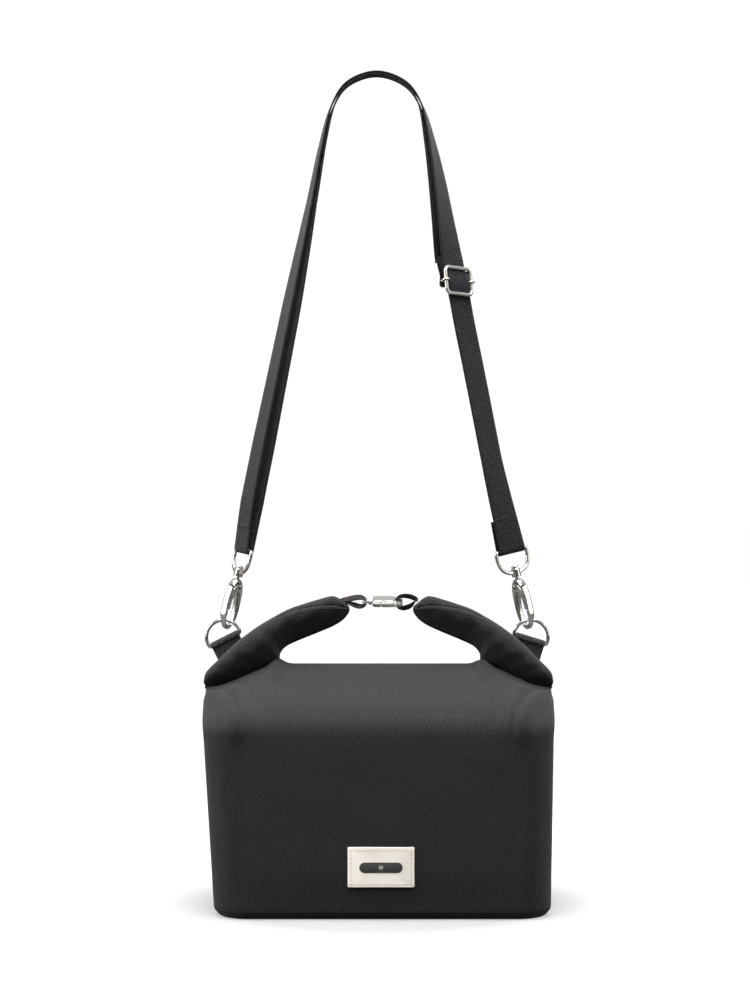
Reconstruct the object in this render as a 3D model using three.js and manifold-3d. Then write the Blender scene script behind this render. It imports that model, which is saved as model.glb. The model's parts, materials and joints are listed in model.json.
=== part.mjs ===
// Insulated roll-top cooler bag with a snap-clipped carry handle and a shoulder strap.
// Millimetres, +Z up. The origin is the centre of the base on the floor, the front faces -Y.
import * as THREE from 'three';
import { mergeVertices } from 'three/addons/utils/BufferGeometryUtils.js';
import Module from 'manifold-3d';

const wasm = await Module();
wasm.setup();

// ---- driving dimensions ----
const GAP = 0.3; // clearance between pieces that touch

// bag body
const BASE_HALF_WIDTH = 131;
const BEND_HALF_WIDTH = 136.5; // where the walls end and the shoulder starts
const CREST_HALF_WIDTH = 139.5; // the mouth is pulled a little wider than the box
const BASE_LEAN = 3.1; // the soft box leans: its base centre stands this far to +X
const HALF_DEPTH = 77;
const CORNER_RADIUS = 27;
const FOOT_RADIUS = 8; // rounded edge between walls and base
const BEND_HEIGHT = 140;
const CREST_HEIGHT = 190; // top edge of the front, in the middle
const CREST_DROP = 16.5; // the edge falls by this much towards the corners
const CREST_FALL_START = 72;
const CREST_FALL_END = 128;
const MOUTH_FRONT_Y = -4;
const MOUTH_BACK_Y = 13;
const MOUTH_BACK_DROP = 14; // back edge of the mouth below the front edge
const SHOULDER_UPRIGHT = 0.42; // the shoulder leaves the wall upright, turns,
const SHOULDER_TURN = 0.24; // and runs on as a nearly flat slope to the mouth
const FABRIC = 1.2;

// insulation, lining and board
const FOAM = 5;
const LINING = 0.8;
const BOARD = 2;
const FOAM_TOP = 138;
const LINING_TOP = 139;

// rolled neck
const ROLL_HALF_LENGTH = 77;
const ROLL_DEPTH = 13.6;
const ROLL_BOTTOM = 177.5;
const ROLL_TOP = 192.3;
const STIFFENER = { thickness: 1.6, height: 9, halfLength: 74 };

// handle arms
const ARM_CENTRE_Y = 2.5;
const ARM_THICKNESS = 12;
const ARM_EDGE = 4; // soft rounded edge
const ARM_REACH = 140.6;
const RIGHT_ARM_STRETCH = 0.962; // the right arm's tip stays a little farther out
const CLIP_Z = 241.4;
const LOOP_WIDTH = 6;

// tabs and rings
const HARDWARE_Y = 13;
const WEBBING = 1.4;
const RING_WIRE = 1.3;
const RING_RADIUS = 13.9;
const RING_LEG = 2.5;
const TAB_WIDTH = 24.4;

// strap hooks
const HOOK_TILT = 13; // degrees, tops lean inwards
const HOOK_YAW = 58; // degrees, hook plane off the ring's plane
const HANG_Z = 226; // height of both ring-and-hook contacts
const HOOK_BODY_HALF = 2.2;
const BOW_HALF = 1.6; // the bow is thinner than the body
const HOOK_PLATE = 0.8;
const HOOK_LENGTH = 58.4; // contact point to the eye's webbing bar
const PIVOT = { x: 2.6, z: 28.2 };
const EYE_WIRE = 1.5;
const EYE_HALF_WIDTH = 14.8;

// strap
const STRAP_WIDTH = 25;
const EYE_LAYER = EYE_WIRE + GAP + WEBBING / 2; // layer mid-plane off the bar's axis
const SLIDER_HEIGHT = 498.2;
const SLIDER_WIRE = 1.5;
const LOOP_LENGTH = 22; // sewn end above the slider's bar

// ---- materials ----
const finish = (color, roughness, metalness) => (
  new THREE.MeshStandardMaterial({ color, roughness, metalness })
);
const polyester = () => finish('#262627', 0.85, 0);
const webbingCloth = () => finish('#27242a', 0.9, 0);
const nickel = () => finish('#d6d4d0', 0.2, 1);
const satinNickel = () => finish('#bdbbb6', 0.4, 1);
const foamGrey = () => finish('#d9dcdd', 0.95, 0);
const silverLining = () => finish('#c9ccd0', 0.45, 0.1);
const boardWhite = () => finish('#e6e4df', 0.7, 0);
const cream = () => finish('#f0e9dc', 0.9, 0);
const darkInk = () => finish('#3b3735', 0.6, 0);

const bag = new THREE.Group();

// ---- helpers ----
const rad = THREE.MathUtils.degToRad;
const lerp = THREE.MathUtils.lerp;
const smooth = (value, from, to) => THREE.MathUtils.smoothstep(value, from, to);
const v2 = (x, y) => new THREE.Vector2(x, y);
const v3 = (x, y, z) => new THREE.Vector3(x, y, z);

function addPiece(parent, name, geometry, material, position = v3(0, 0, 0)) {
  const mesh = new THREE.Mesh(geometry, material);
  mesh.name = name;
  mesh.position.copy(position);
  parent.add(mesh);
  return mesh;
}

/** Positions only, with shared vertices merged. */
function welded(geometry) {
  const copy = geometry.clone();
  copy.deleteAttribute('normal');
  copy.deleteAttribute('uv');
  return mergeVertices(copy, 1e-3);
}

function toSolid(geometry) {
  const merged = welded(geometry);
  return new wasm.Manifold(new wasm.Mesh({
    numProp: 3,
    vertProperties: new Float32Array(merged.attributes.position.array),
    triVerts: new Uint32Array(merged.index.array),
  }));
}

function toGeometry(solid) {
  const mesh = solid.getMesh();
  const geometry = new THREE.BufferGeometry();
  geometry.setAttribute('position', new THREE.BufferAttribute(mesh.vertProperties, 3));
  geometry.setIndex(new THREE.BufferAttribute(mesh.triVerts, 1));
  geometry.computeVertexNormals();
  return geometry;
}

/** Joins `add` solids and cuts `cut` solids, all given as geometries. */
function carve(add, cut = []) {
  const solid = add.map(toSolid).reduce((sum, item) => sum.add(item));
  return toGeometry(cut.map(toSolid).reduce((rest, item) => rest.subtract(item), solid));
}

/** Skin over equal rings of points. It closes on itself when `closed`, else ends in flat caps. */
function skin(rings, closed) {
  const count = rings[0].length;
  const points = rings.flat();
  const index = [];
  const spans = closed ? rings.length : rings.length - 1;
  for (let r = 0; r < spans; r += 1) {
    const low = r * count;
    const high = ((r + 1) % rings.length) * count;
    for (let i = 0; i < count; i += 1) {
      const j = (i + 1) % count;
      index.push(low + i, low + j, high + j, low + i, high + j, high + i);
    }
  }
  if (!closed) {
    const last = (rings.length - 1) * count;
    for (let i = 1; i < count - 1; i += 1) {
      index.push(0, i + 1, i);
      index.push(last, last + i, last + i + 1);
    }
  }
  const geometry = new THREE.BufferGeometry().setFromPoints(points);
  geometry.setIndex(index);
  return geometry;
}

/** Straight extrusion of a shape, centred on its own thickness, thickness along Z. */
function slab(shape, thickness, curveSegments = 6) {
  const options = { depth: thickness, bevelEnabled: false, curveSegments };
  return new THREE.ExtrudeGeometry(shape, options).translate(0, 0, -thickness / 2);
}

/** A slab drawn in X and Z: its shape's second axis becomes +Z and its thickness lies along Y. */
const upright = (geometry) => geometry.rotateX(Math.PI / 2);

/** A slab drawn in Y and Z, its thickness along X. */
const sideways = (geometry) => geometry.rotateX(Math.PI / 2).rotateZ(Math.PI / 2);

/** Closed smooth outline through a few points. */
function smoothShape(points, divisions) {
  const loop = new THREE.CatmullRomCurve3(points.map(([x, y]) => v3(x, y, 0)), true);
  const outline = loop.getSpacedPoints(divisions).slice(1).map((p) => v2(p.x, p.y));
  return new THREE.Shape(THREE.ShapeUtils.isClockWise(outline) ? outline.reverse() : outline);
}

function roundedRectangle(halfWidth, halfHeight, radius) {
  const shape = new THREE.Shape();
  shape.absarc(halfWidth - radius, -halfHeight + radius, radius, -Math.PI / 2, 0);
  shape.absarc(halfWidth - radius, halfHeight - radius, radius, 0, Math.PI / 2);
  shape.absarc(-halfWidth + radius, halfHeight - radius, radius, Math.PI / 2, Math.PI);
  shape.absarc(-halfWidth + radius, -halfHeight + radius, radius, Math.PI, 1.5 * Math.PI);
  return shape;
}

function circle(x, y, radius) {
  return new THREE.Shape().absarc(x, y, radius, 0, 2 * Math.PI);
}

function box(width, depth, height, x, y, z) {
  return new THREE.BoxGeometry(width, depth, height).translate(x, y, z);
}

/** Cylinder standing along Z between two heights. */
function post(radius, low, high, segments = 16) {
  const geometry = new THREE.CylinderGeometry(radius, radius, high - low, segments);
  return geometry.rotateX(Math.PI / 2).translate(0, 0, (low + high) / 2);
}

// ---- bag body ----
/** Height of the mouth's front edge at a given place across the bag. */
function crestHeight(x) {
  return CREST_HEIGHT - CREST_DROP * smooth(Math.abs(x), CREST_FALL_START, CREST_FALL_END);
}

/** Plan outline as corner signs and outward directions, so that every level has equal points. */
function planOutline() {
  const arcSteps = 5;
  const corners = [[1, -1, -90], [1, 1, 0], [-1, 1, 90], [-1, -1, 180]];
  return corners.flatMap(([cx, cy, start], k) => {
    const [nextX, nextY] = corners[(k + 1) % corners.length];
    const straightSteps = nextY === cy ? 14 : 4;
    const arc = Array.from({ length: arcSteps + 1 }, (_, i) => {
      const angle = rad(start + (90 * i) / arcSteps);
      return { cx, cy, ax: Math.cos(angle), ay: Math.sin(angle) };
    });
    const { ax, ay } = arc[arcSteps];
    const straight = Array.from({ length: straightSteps - 1 }, (_, i) => {
      const f = (i + 1) / straightSteps;
      return { cx: lerp(cx, nextX, f), cy: lerp(cy, nextY, f), ax, ay };
    });
    return [...arc, ...straight];
  });
}

const PLAN = planOutline();

/** One level of the upright walls, `inset` mm inside the outer surface. */
function wallRing(z, inset) {
  const rise = z / BEND_HEIGHT;
  const radius = Math.max(CORNER_RADIUS - inset, 4);
  const halfWidth = lerp(BASE_HALF_WIDTH, BEND_HALF_WIDTH, rise) - inset;
  const halfDepth = HALF_DEPTH - inset;
  return PLAN.map(({ cx, cy, ax, ay }) => v3(
    BASE_LEAN * (1 - rise) + cx * (halfWidth - radius) + ax * radius,
    cy * (halfDepth - radius) + ay * radius,
    z,
  ));
}

/** Cubic Bezier between two values with two handles. */
function bezier(t, start, first, second, end) {
  const u = 1 - t;
  return u ** 3 * start + 3 * u * u * t * first + 3 * u * t * t * second + t ** 3 * end;
}

/** One level of the shoulder: t = 0 is the bend, t = 1 the mouth's edge. */
function shoulderRing(t, inset) {
  const bend = wallRing(BEND_HEIGHT, inset);
  const widen = lerp(1, CREST_HALF_WIDTH / BEND_HALF_WIDTH, t);
  const deep = HALF_DEPTH - inset;
  const sink = 2 * inset * t * (1 - t); // keeps an inner level clear of the outer one
  return bend.map((p) => {
    const back = (p.y + deep) / (2 * deep);
    const endY = lerp(MOUTH_FRONT_Y + inset, MOUTH_BACK_Y - inset, back);
    const endZ = crestHeight(p.x) - MOUTH_BACK_DROP * back - 0.4 * inset;
    const upright = lerp(BEND_HEIGHT, endZ, SHOULDER_UPRIGHT);
    const sloping = lerp(BEND_HEIGHT, endZ, 0.5);
    return v3(
      p.x * widen,
      bezier(t, p.y, p.y, lerp(p.y, endY, SHOULDER_TURN), endY),
      bezier(t, BEND_HEIGHT, upright, sloping, endZ) - sink,
    );
  });
}

function outerWallsGeometry() {
  const foot = [0, 30, 60, 90].map(rad);
  const outside = [
    ...foot.map((a) => wallRing(FOOT_RADIUS * (1 - Math.cos(a)), FOOT_RADIUS * (1 - Math.sin(a)))),
    wallRing(75, 0),
    ...[0, 0.2, 0.4, 0.6, 0.8, 1].map((t) => shoulderRing(t, 0)),
  ];
  const innerRadius = FOOT_RADIUS - FABRIC;
  const inside = [
    ...foot.map((a) => wallRing(
      FOOT_RADIUS - innerRadius * Math.cos(a),
      FOOT_RADIUS - innerRadius * Math.sin(a),
    )),
    wallRing(75, FABRIC),
    ...[0, 0.2, 0.4, 0.6, 0.8, 1].map((t) => shoulderRing(t, FABRIC)),
  ];
  return skin([...outside, ...inside.reverse()], true);
}

function outerBaseGeometry() {
  const inset = FOOT_RADIUS + GAP;
  const shape = roundedRectangle(
    BASE_HALF_WIDTH - inset,
    HALF_DEPTH - inset,
    CORNER_RADIUS - inset,
  );
  return slab(shape, FABRIC).translate(BASE_LEAN, 0, FABRIC / 2);
}

/** Tub of lining: walls, floor and a level top rim. */
function liningGeometry() {
  const inset = FABRIC + FOAM + 3 * GAP;
  const floorLow = FABRIC + BOARD + FOAM + 3 * GAP;
  const outside = [wallRing(floorLow, inset), wallRing(LINING_TOP, inset)];
  const inside = [
    wallRing(LINING_TOP, inset + LINING),
    wallRing(floorLow + LINING, inset + LINING),
  ];
  return skin([...outside, ...inside], false);
}

/** Sleeve of lining under the shoulder, open below and towards the mouth. */
function liningCollarGeometry() {
  const inset = FABRIC + 4 * GAP;
  const levels = [0, 0.2, 0.4, 0.6, 0.8];
  const outside = levels.map((t) => shoulderRing(t, inset));
  const inside = levels.map((t) => shoulderRing(t, inset + LINING));
  return skin([...outside, ...inside.reverse()], true);
}

function foamPanel(halfWidth, name, x, y, turn) {
  const low = FOOT_RADIUS + 2;
  const panel = new THREE.BoxGeometry(2 * halfWidth, FOAM, FOAM_TOP - low);
  const mesh = addPiece(bag, name, panel, foamGrey(), v3(x, y, (low + FOAM_TOP) / 2));
  mesh.rotation.set(0, 0, turn);
  return mesh;
}

function addBody() {
  addPiece(bag, 'outer_walls', outerWallsGeometry(), polyester());
  addPiece(bag, 'outer_base', outerBaseGeometry(), polyester());
  const boardInset = FOOT_RADIUS + 1.5;
  const boardShape = roundedRectangle(BASE_HALF_WIDTH - boardInset, HALF_DEPTH - boardInset, 17);
  const boardZ = FABRIC + GAP + BOARD / 2;
  addPiece(bag, 'base_board', slab(boardShape, BOARD), boardWhite(), v3(BASE_LEAN, 0, boardZ));
  const foamZ = boardZ + BOARD / 2 + GAP + FOAM / 2;
  addPiece(bag, 'foam_base', slab(boardShape, FOAM), foamGrey(), v3(BASE_LEAN, 0, foamZ));

  const faceY = HALF_DEPTH - FABRIC - GAP - FOAM / 2;
  foamPanel(103, 'foam_front', BASE_LEAN / 2, -faceY, 0);
  foamPanel(103, 'foam_back', BASE_LEAN / 2, faceY, 0);
  const low = FOOT_RADIUS + 2;
  const widthAt = (z) => lerp(BASE_HALF_WIDTH, BEND_HALF_WIDTH, z / BEND_HEIGHT);
  const leanAt = (z) => BASE_LEAN * (1 - z / BEND_HEIGHT);
  const sideInset = FABRIC + GAP + FOAM / 2;
  [['foam_left', -1], ['foam_right', 1]].forEach(([name, side]) => {
    const lowX = leanAt(low) + side * (widthAt(low) - sideInset);
    const highX = leanAt(FOAM_TOP) + side * (widthAt(FOAM_TOP) - sideInset);
    const tilt = Math.atan2(highX - lowX, FOAM_TOP - low);
    const panel = new THREE.BoxGeometry(FOAM, 96, FOAM_TOP - low);
    const middle = v3((lowX + highX) / 2, 0, (low + FOAM_TOP) / 2);
    addPiece(bag, name, panel, foamGrey(), middle).rotation.y = tilt;
  });
  addPiece(bag, 'lining_tub', liningGeometry(), silverLining());
  addPiece(bag, 'lining_collar', liningCollarGeometry(), silverLining());
}

// ---- rolled neck ----
function addNeck() {
  const centreY = (MOUTH_FRONT_Y + MOUTH_BACK_Y) / 2;
  const centreZ = (ROLL_BOTTOM + ROLL_TOP) / 2;
  const halfHeight = (ROLL_TOP - ROLL_BOTTOM) / 2;
  const section = roundedRectangle(ROLL_DEPTH / 2, halfHeight, 6);
  const slotWide = STIFFENER.thickness / 2 + GAP;
  const slotHigh = STIFFENER.height / 2 + GAP;
  section.holes.push(new THREE.Path([
    v2(-slotWide, -slotHigh), v2(-slotWide, slotHigh),
    v2(slotWide, slotHigh), v2(slotWide, -slotHigh),
  ]));
  const roll = sideways(slab(section, 2 * ROLL_HALF_LENGTH, 4));
  addPiece(bag, 'neck_roll', roll, polyester(), v3(0, centreY, centreZ));
  const strip = new THREE.BoxGeometry(
    2 * STIFFENER.halfLength,
    STIFFENER.thickness,
    STIFFENER.height,
  );
  addPiece(bag, 'mouth_stiffener', strip, boardWhite(), v3(0, centreY, centreZ));
}

// ---- handle ----
/** Left arm outline, (x, z): round the fold, along the back, tip, underside, then the crest. */
const ARM_OUTLINE = [
  [-139.6, 182], [-136.9, 186.5], [-131.5, 192.4], [-124, 198.8], [-118.6, 205.3],
  [-102.6, 217.6], [-86.5, 228.4], [-65.1, 236.4], [-49, 242.3], [-35.1, 245.2],
  [-29.8, 243.9], [-23.3, 238], [-22.8, 235], [-28.6, 226.7], [-39.4, 220.3],
  [-54.4, 214.4], [-66.2, 209.6], [-75.6, 204.6], [-80.6, 197.4], [-81, 193.6],
  [-86.5, 191.4], [-95.1, 188.4], [-104.7, 184.8], [-113.3, 180.6], [-123, 177.6],
  [-131.5, 176.6], [-137.8, 177.8],
];

function armGeometry(place) {
  const shape = new THREE.Shape(ARM_OUTLINE.map(([x, z]) => v2(place(x), z)));
  const geometry = new THREE.ExtrudeGeometry(shape, {
    depth: ARM_THICKNESS - 2 * ARM_EDGE,
    bevelThickness: ARM_EDGE,
    bevelSize: ARM_EDGE,
    bevelOffset: -ARM_EDGE,
    bevelSegments: 2,
  });
  const halfFlat = (ARM_THICKNESS - 2 * ARM_EDGE) / 2;
  return upright(geometry.translate(0, 0, -halfFlat));
}

/** Webbing loop drawn in X and Z: a teardrop with a hole, its width along Y. */
function loopGeometry(outer, hole) {
  const shape = smoothShape(outer, 22);
  shape.holes.push(smoothShape(hole, 16));
  return upright(slab(shape, LOOP_WIDTH));
}

function addHandle() {
  const mirror = (x) => ARM_REACH - (ARM_REACH + x) * RIGHT_ARM_STRETCH;
  const middle = v3(0, ARM_CENTRE_Y, 0);
  addPiece(bag, 'left_arm', armGeometry((x) => x), polyester(), middle);
  addPiece(bag, 'right_arm', armGeometry(mirror), polyester(), middle);
  const left = loopGeometry(
    [[-26.2, 242.9], [-21.5, 245.6], [-14.5, 246], [-10.3, 244.4], [-9.4, 241.4],
      [-10.3, 238.4], [-14.6, 236.8], [-19.5, 237.9], [-22.9, 239.9]],
    [[-18.8, 241.6], [-15.6, 243.9], [-12.4, 244.1], [-11.1, 242.9], [-11.1, 239.9],
      [-12.4, 238.7], [-15.6, 239]],
  );
  addPiece(bag, 'left_loop', left, webbingCloth(), middle);
  const right = loopGeometry(
    [[32, 243.6], [27, 246.2], [20.5, 247], [15.4, 246.2], [14.2, 243.6], [14.2, 239.2],
      [15.4, 236.6], [20.5, 235.8], [25, 236.8], [28.6, 239.9]],
    [[27, 241.8], [23.6, 244.6], [20, 245.4], [16.8, 245.1], [15.8, 243.8],
      [15.8, 238.8], [16.8, 237.5], [20, 237.3], [23.6, 238.9]],
  );
  addPiece(bag, 'right_loop', right, webbingCloth(), middle);
}

// ---- handle clip, drawn along X in its own group ----
const CLIP = {
  start: -4.7, end: 19.2, halfWidth: 7.3, innerStart: 2.6, innerEnd: 16.2, innerHalf: 5.2,
  half: 1.4, pivotX: 0.2, pivotY: -5.4, gateEnd: 13.2, tilt: 22,
};

function clipEyeGeometry() {
  const bars = roundedRectangle(2.7 + 0.6, 6.2, 1.6);
  const window = roundedRectangle(1.5, 4.4, 0.8);
  bars.holes.push(window);
  const frame = slab(bars, 1.8, 3).translate(-9.8, 0, 0);
  const boss = post(2.2, -8, -5.1, 14).rotateY(Math.PI / 2);
  const bore = post(1.25, -9, -4, 14).rotateY(Math.PI / 2);
  return carve([frame, boss], [bore, box(3, 8.8, 1.9, -9.8, 0, 0)]);
}

function clipBodyGeometry() {
  const middle = (CLIP.start + CLIP.end) / 2;
  const outline = slab(
    roundedRectangle((CLIP.end - CLIP.start) / 2, CLIP.halfWidth, 3),
    2 * CLIP.half,
    3,
  ).translate(middle, 0, 0);
  const innerMiddle = (CLIP.innerStart + CLIP.innerEnd) / 2;
  const opening = slab(
    roundedRectangle((CLIP.innerEnd - CLIP.innerStart) / 2, CLIP.innerHalf, 2.2),
    6,
    3,
  ).translate(innerMiddle, 0, 0);
  const gateGap = box(CLIP.gateEnd + GAP - 2, 6, 6, (CLIP.gateEnd + GAP + 2) / 2, -6.6, 0);
  const rootSlot = box(8, 8, 1.5, -0.2, -5.9, 0);
  const bore = post(0.9, -4, 4, 12).translate(CLIP.pivotX, CLIP.pivotY, 0);
  const pin = post(0.95, -9, -4, 12).rotateY(Math.PI / 2);
  const pinHead = post(1.5, -9.1, -8.6, 12).rotateY(Math.PI / 2);
  return carve([outline, pin, pinHead], [opening, gateGap, rootSlot, bore]);
}

function clipGateGeometry() {
  const outerY = -CLIP.halfWidth;
  const bar = box(
    CLIP.gateEnd - 2.6,
    2.1,
    2 * CLIP.half,
    (CLIP.gateEnd + 2.6) / 2,
    outerY + 1.05,
    0,
  );
  const root = slab(roundedRectangle(2.6, 1.2, 1), 0.9, 3).translate(1.4, -5.8, 0);
  const bore = post(0.9, -2, 2, 12).translate(CLIP.pivotX, CLIP.pivotY, 0);
  return carve([bar, root], [bore]);
}

function addClip() {
  const clip = new THREE.Group();
  clip.position.set(0, ARM_CENTRE_Y, CLIP_Z);
  bag.add(clip);
  addPiece(clip, 'clip_eye', clipEyeGeometry(), nickel());
  const swivel = new THREE.Group();
  swivel.rotation.x = rad(CLIP.tilt);
  clip.add(swivel);
  addPiece(swivel, 'clip_body', clipBodyGeometry(), nickel());
  addPiece(swivel, 'clip_gate', clipGateGeometry(), nickel());
  const rivet = post(0.6, -1.4, 1.4, 12);
  addPiece(swivel, 'clip_rivet', rivet, nickel(), v3(CLIP.pivotX, CLIP.pivotY, 0));
}

// ---- webbing tabs and D-rings ----
/** Closed D drawn in X and Z: the bar lies on the X axis, the bow rises above it. */
function ringGeometry(radius, leg, wire, segments) {
  const bow = Array.from({ length: 9 }, (_, i) => {
    const angle = Math.PI * (1 - i / 8);
    return v3(radius * Math.cos(angle), 0, leg + radius * Math.sin(angle));
  });
  const bar = [-1, -0.5, 0, 0.5, 1].map((f) => v3(-f * (radius - 1.6), 0, 0));
  const path = new THREE.CatmullRomCurve3([...bow, ...bar], true, 'catmullrom', 0.5);
  return welded(new THREE.TubeGeometry(path, segments, wire, 8, true));
}

/** Hairpin of webbing round the ring's bar, hanging down along -Z, its width along X. */
function tabGeometry(length) {
  const eye = RING_WIRE + GAP;
  const outer = eye + WEBBING;
  const side = WEBBING + 0.1;
  const shape = new THREE.Shape();
  shape.moveTo(-side, -length);
  shape.lineTo(side, -length);
  shape.lineTo(side, -outer - 3);
  shape.absarc(0, 0, outer, rad(-50), rad(230));
  shape.lineTo(-side, -outer - 3);
  shape.holes.push(circle(0, 0, eye));
  return sideways(slab(shape, TAB_WIDTH, 10));
}

function addTabAndRing(side, centreX, centreZ, lean, tabLength) {
  const bar = new THREE.Group();
  bar.position.set(centreX, HARDWARE_Y, centreZ);
  bar.rotation.y = rad(lean);
  bag.add(bar);
  addPiece(bar, `${side}_tab`, tabGeometry(tabLength), webbingCloth());
  addPiece(bar, `${side}_ring`, ringGeometry(RING_RADIUS, RING_LEG, RING_WIRE, 40), nickel());
}

// ---- strap hooks: drawn with the long axis on Z, the ring contact at the origin ----
const HOOK_OUTLINE = [
  [-2.6, 34.6], [2.6, 34.6], [6, 30.5], [8, 22], [8.4, 10], [6.9, 0], [3.4, -5.4], [0, -7],
  [-3.4, -5.4], [-6.9, 0], [-8.4, 10], [-8, 22], [-6.6, 29.5],
];
const GATE_PLATE = [
  [5.4, 28.2], [4.2, 30.8], [0.6, 31], [-4, 28.8], [-7.9, 22], [-8.4, 9.4], [-5.4, 9.4],
  [-4.9, 15], [-2.4, 21.5], [3.6, 25.4],
];

function hookBodyGeometry() {
  const thick = 2 * HOOK_BODY_HALF;
  const outline = upright(slab(smoothShape(HOOK_OUTLINE, 34), thick));
  const oval = new THREE.Shape();
  oval.absarc(0, 2.2, 5.6, Math.PI, 2 * Math.PI);
  oval.lineTo(5.2, 14);
  oval.lineTo(2.6, 23.4);
  oval.lineTo(-1, 25);
  oval.lineTo(-4.6, 14);
  const opening = upright(slab(oval, 10, 7));
  const gateGap = box(9, 10, 19.8, -5.4, 0, 17.4);
  const springPocket = box(7, 1.8, 8, PIVOT.x, 0, PIVOT.z - 1.4);
  const bore = upright(slab(circle(PIVOT.x, PIVOT.z, 1.3), 10, 5));
  const pin = post(1.7, 34, 43, 14);
  const pinHead = post(2.9, 42.9, 45, 14);
  const bowSides = [-1, 1].map((side) => box(20, 2, 16, 0, side * (BOW_HALF + 1), -1));
  return carve([outline, pin, pinHead], [opening, gateGap, springPocket, bore, ...bowSides]);
}

function hookGateGeometry() {
  const plateY = HOOK_BODY_HALF + GAP + HOOK_PLATE / 2;
  const plates = [-plateY, plateY].map((y) => (
    upright(slab(new THREE.Shape(GATE_PLATE.map(([x, z]) => v2(x, z))), HOOK_PLATE))
      .translate(0, y, 0)
  ));
  const wide = 2 * (plateY + HOOK_PLATE / 2);
  const faceOutline = [[-8.4, 9.4], [-5.4, 9.4], [-5.2, 15], [-5, 26.4], [-6.6, 26.4], [-8, 21]];
  const face = upright(slab(new THREE.Shape(faceOutline.map(([x, z]) => v2(x, z))), wide));
  const bore = upright(slab(circle(PIVOT.x, PIVOT.z, 1.3), 12, 5));
  return carve([...plates, face], [bore]);
}

/** Pin with a head outside each gate plate, drawn along Y. */
function rivetGeometry() {
  const face = HOOK_BODY_HALF + 2 * GAP + HOOK_PLATE;
  const profile = [[0, -face - 0.7], [1.9, -face - 0.5], [2, -face], [1, -face],
    [1, face], [2, face], [1.9, face + 0.5], [0, face + 0.7]];
  return new THREE.LatheGeometry(profile.map(([x, y]) => v2(x, y)), 14);
}

/** Coil of the torsion spring that closes the gate, round the rivet. */
function springGeometry() {
  const profile = [[1.3, -0.6], [2.3, -0.6], [2.3, 0.6], [1.3, 0.6], [1.3, -0.6]];
  return new THREE.LatheGeometry(profile.map(([x, y]) => v2(x, y)), 14);
}

/** D-shaped eye: round bottom joined to a barrel, straight bar for the webbing on top. */
function hookEyeGeometry() {
  const bottom = 39.4;
  const points = [
    [-EYE_HALF_WIDTH + 1.4, HOOK_LENGTH], [-6, HOOK_LENGTH], [0, HOOK_LENGTH], [6, HOOK_LENGTH],
    [EYE_HALF_WIDTH - 1.4, HOOK_LENGTH], [EYE_HALF_WIDTH, HOOK_LENGTH - 2],
    [EYE_HALF_WIDTH, 50.4], [12.4, 44.2], [7, 40.5], [0, bottom],
    [-7, 40.5], [-12.4, 44.2], [-EYE_HALF_WIDTH, 50.4], [-EYE_HALF_WIDTH, HOOK_LENGTH - 2],
  ].map(([x, z]) => v3(x, 0, z));
  const path = new THREE.CatmullRomCurve3(points, true, 'catmullrom', 0.5);
  const wire = new THREE.TubeGeometry(path, 44, EYE_WIRE, 8, true);
  const barrel = post(3.8, 36.2, 42.6, 18);
  const bore = post(2, 35, 44, 14);
  return carve([wire, barrel], [bore]);
}

function addHook(side, contactX, tilt, hookYaw, eyeYaw) {
  const hang = new THREE.Group();
  hang.position.set(contactX, HARDWARE_Y, HANG_Z);
  hang.rotation.y = rad(tilt);
  bag.add(hang);
  addPiece(hang, `${side}_hook_eye`, hookEyeGeometry(), nickel()).rotation.z = rad(eyeYaw);
  const swivel = new THREE.Group();
  swivel.rotation.z = rad(hookYaw);
  hang.add(swivel);
  addPiece(swivel, `${side}_hook_body`, hookBodyGeometry(), nickel());
  addPiece(swivel, `${side}_hook_gate`, hookGateGeometry(), nickel());
  const pivot = v3(PIVOT.x, 0, PIVOT.z);
  addPiece(swivel, `${side}_hook_rivet`, rivetGeometry(), nickel(), pivot);
  addPiece(swivel, `${side}_hook_spring`, springGeometry(), satinNickel(), pivot);
}

// ---- shoulder strap ----
const LEFT_CONTACT_X = -121.5;
const RIGHT_CONTACT_X = 119.6;
const barX = (contactX, lean) => contactX + lean * HOOK_LENGTH * Math.sin(rad(HOOK_TILT));
const BAR_Z = HANG_Z + HOOK_LENGTH * Math.cos(rad(HOOK_TILT));

/** Line midway between the layers, right end to left: x, z, twist off edge-on, layer spacing. */
const STRAP_ROUTE = [
  [barX(RIGHT_CONTACT_X, -1), BAR_Z, 58, 2 * EYE_LAYER],
  [97.5, 323, 50, 2.2],
  [89.9, 357, 44, 2.2],
  [77.4, 420, 44, 2.4],
  [68.3, 460, 44, 5],
  [63.3, 482, 44, 7.4],
  [56.9, 515, 44, 7.4],
  [52.1, 547, 33, 5.6],
  [47.4, 579, 24, 4.6],
  [41.6, 611, 14, 3.6],
  [34, 641, 5, 2.1],
  [21, 658.6, 4, 1.9],
  [-1.6, 666.2, 4, 1.9],
  [-24.2, 658.6, 4, 1.9],
  [-36.6, 641, 4.5, 2],
  [-44.7, 611, 8, 2.4],
  [-53.7, 563, 12, 3.6],
  [-69.2, 483, 20, 7.2],
  [-91.8, 371, 25, 9],
  [-101.8, 321, 27, 8.6],
  [barX(LEFT_CONTACT_X, 1), BAR_Z, 28, 2 * EYE_LAYER],
];

const RETURN_END_ROW = 6; // the return layer ends here, just above the slider

const strapCurve = new THREE.CatmullRomCurve3(
  STRAP_ROUTE.map(([x, z]) => v3(x, HARDWARE_Y, z)),
);

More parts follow.
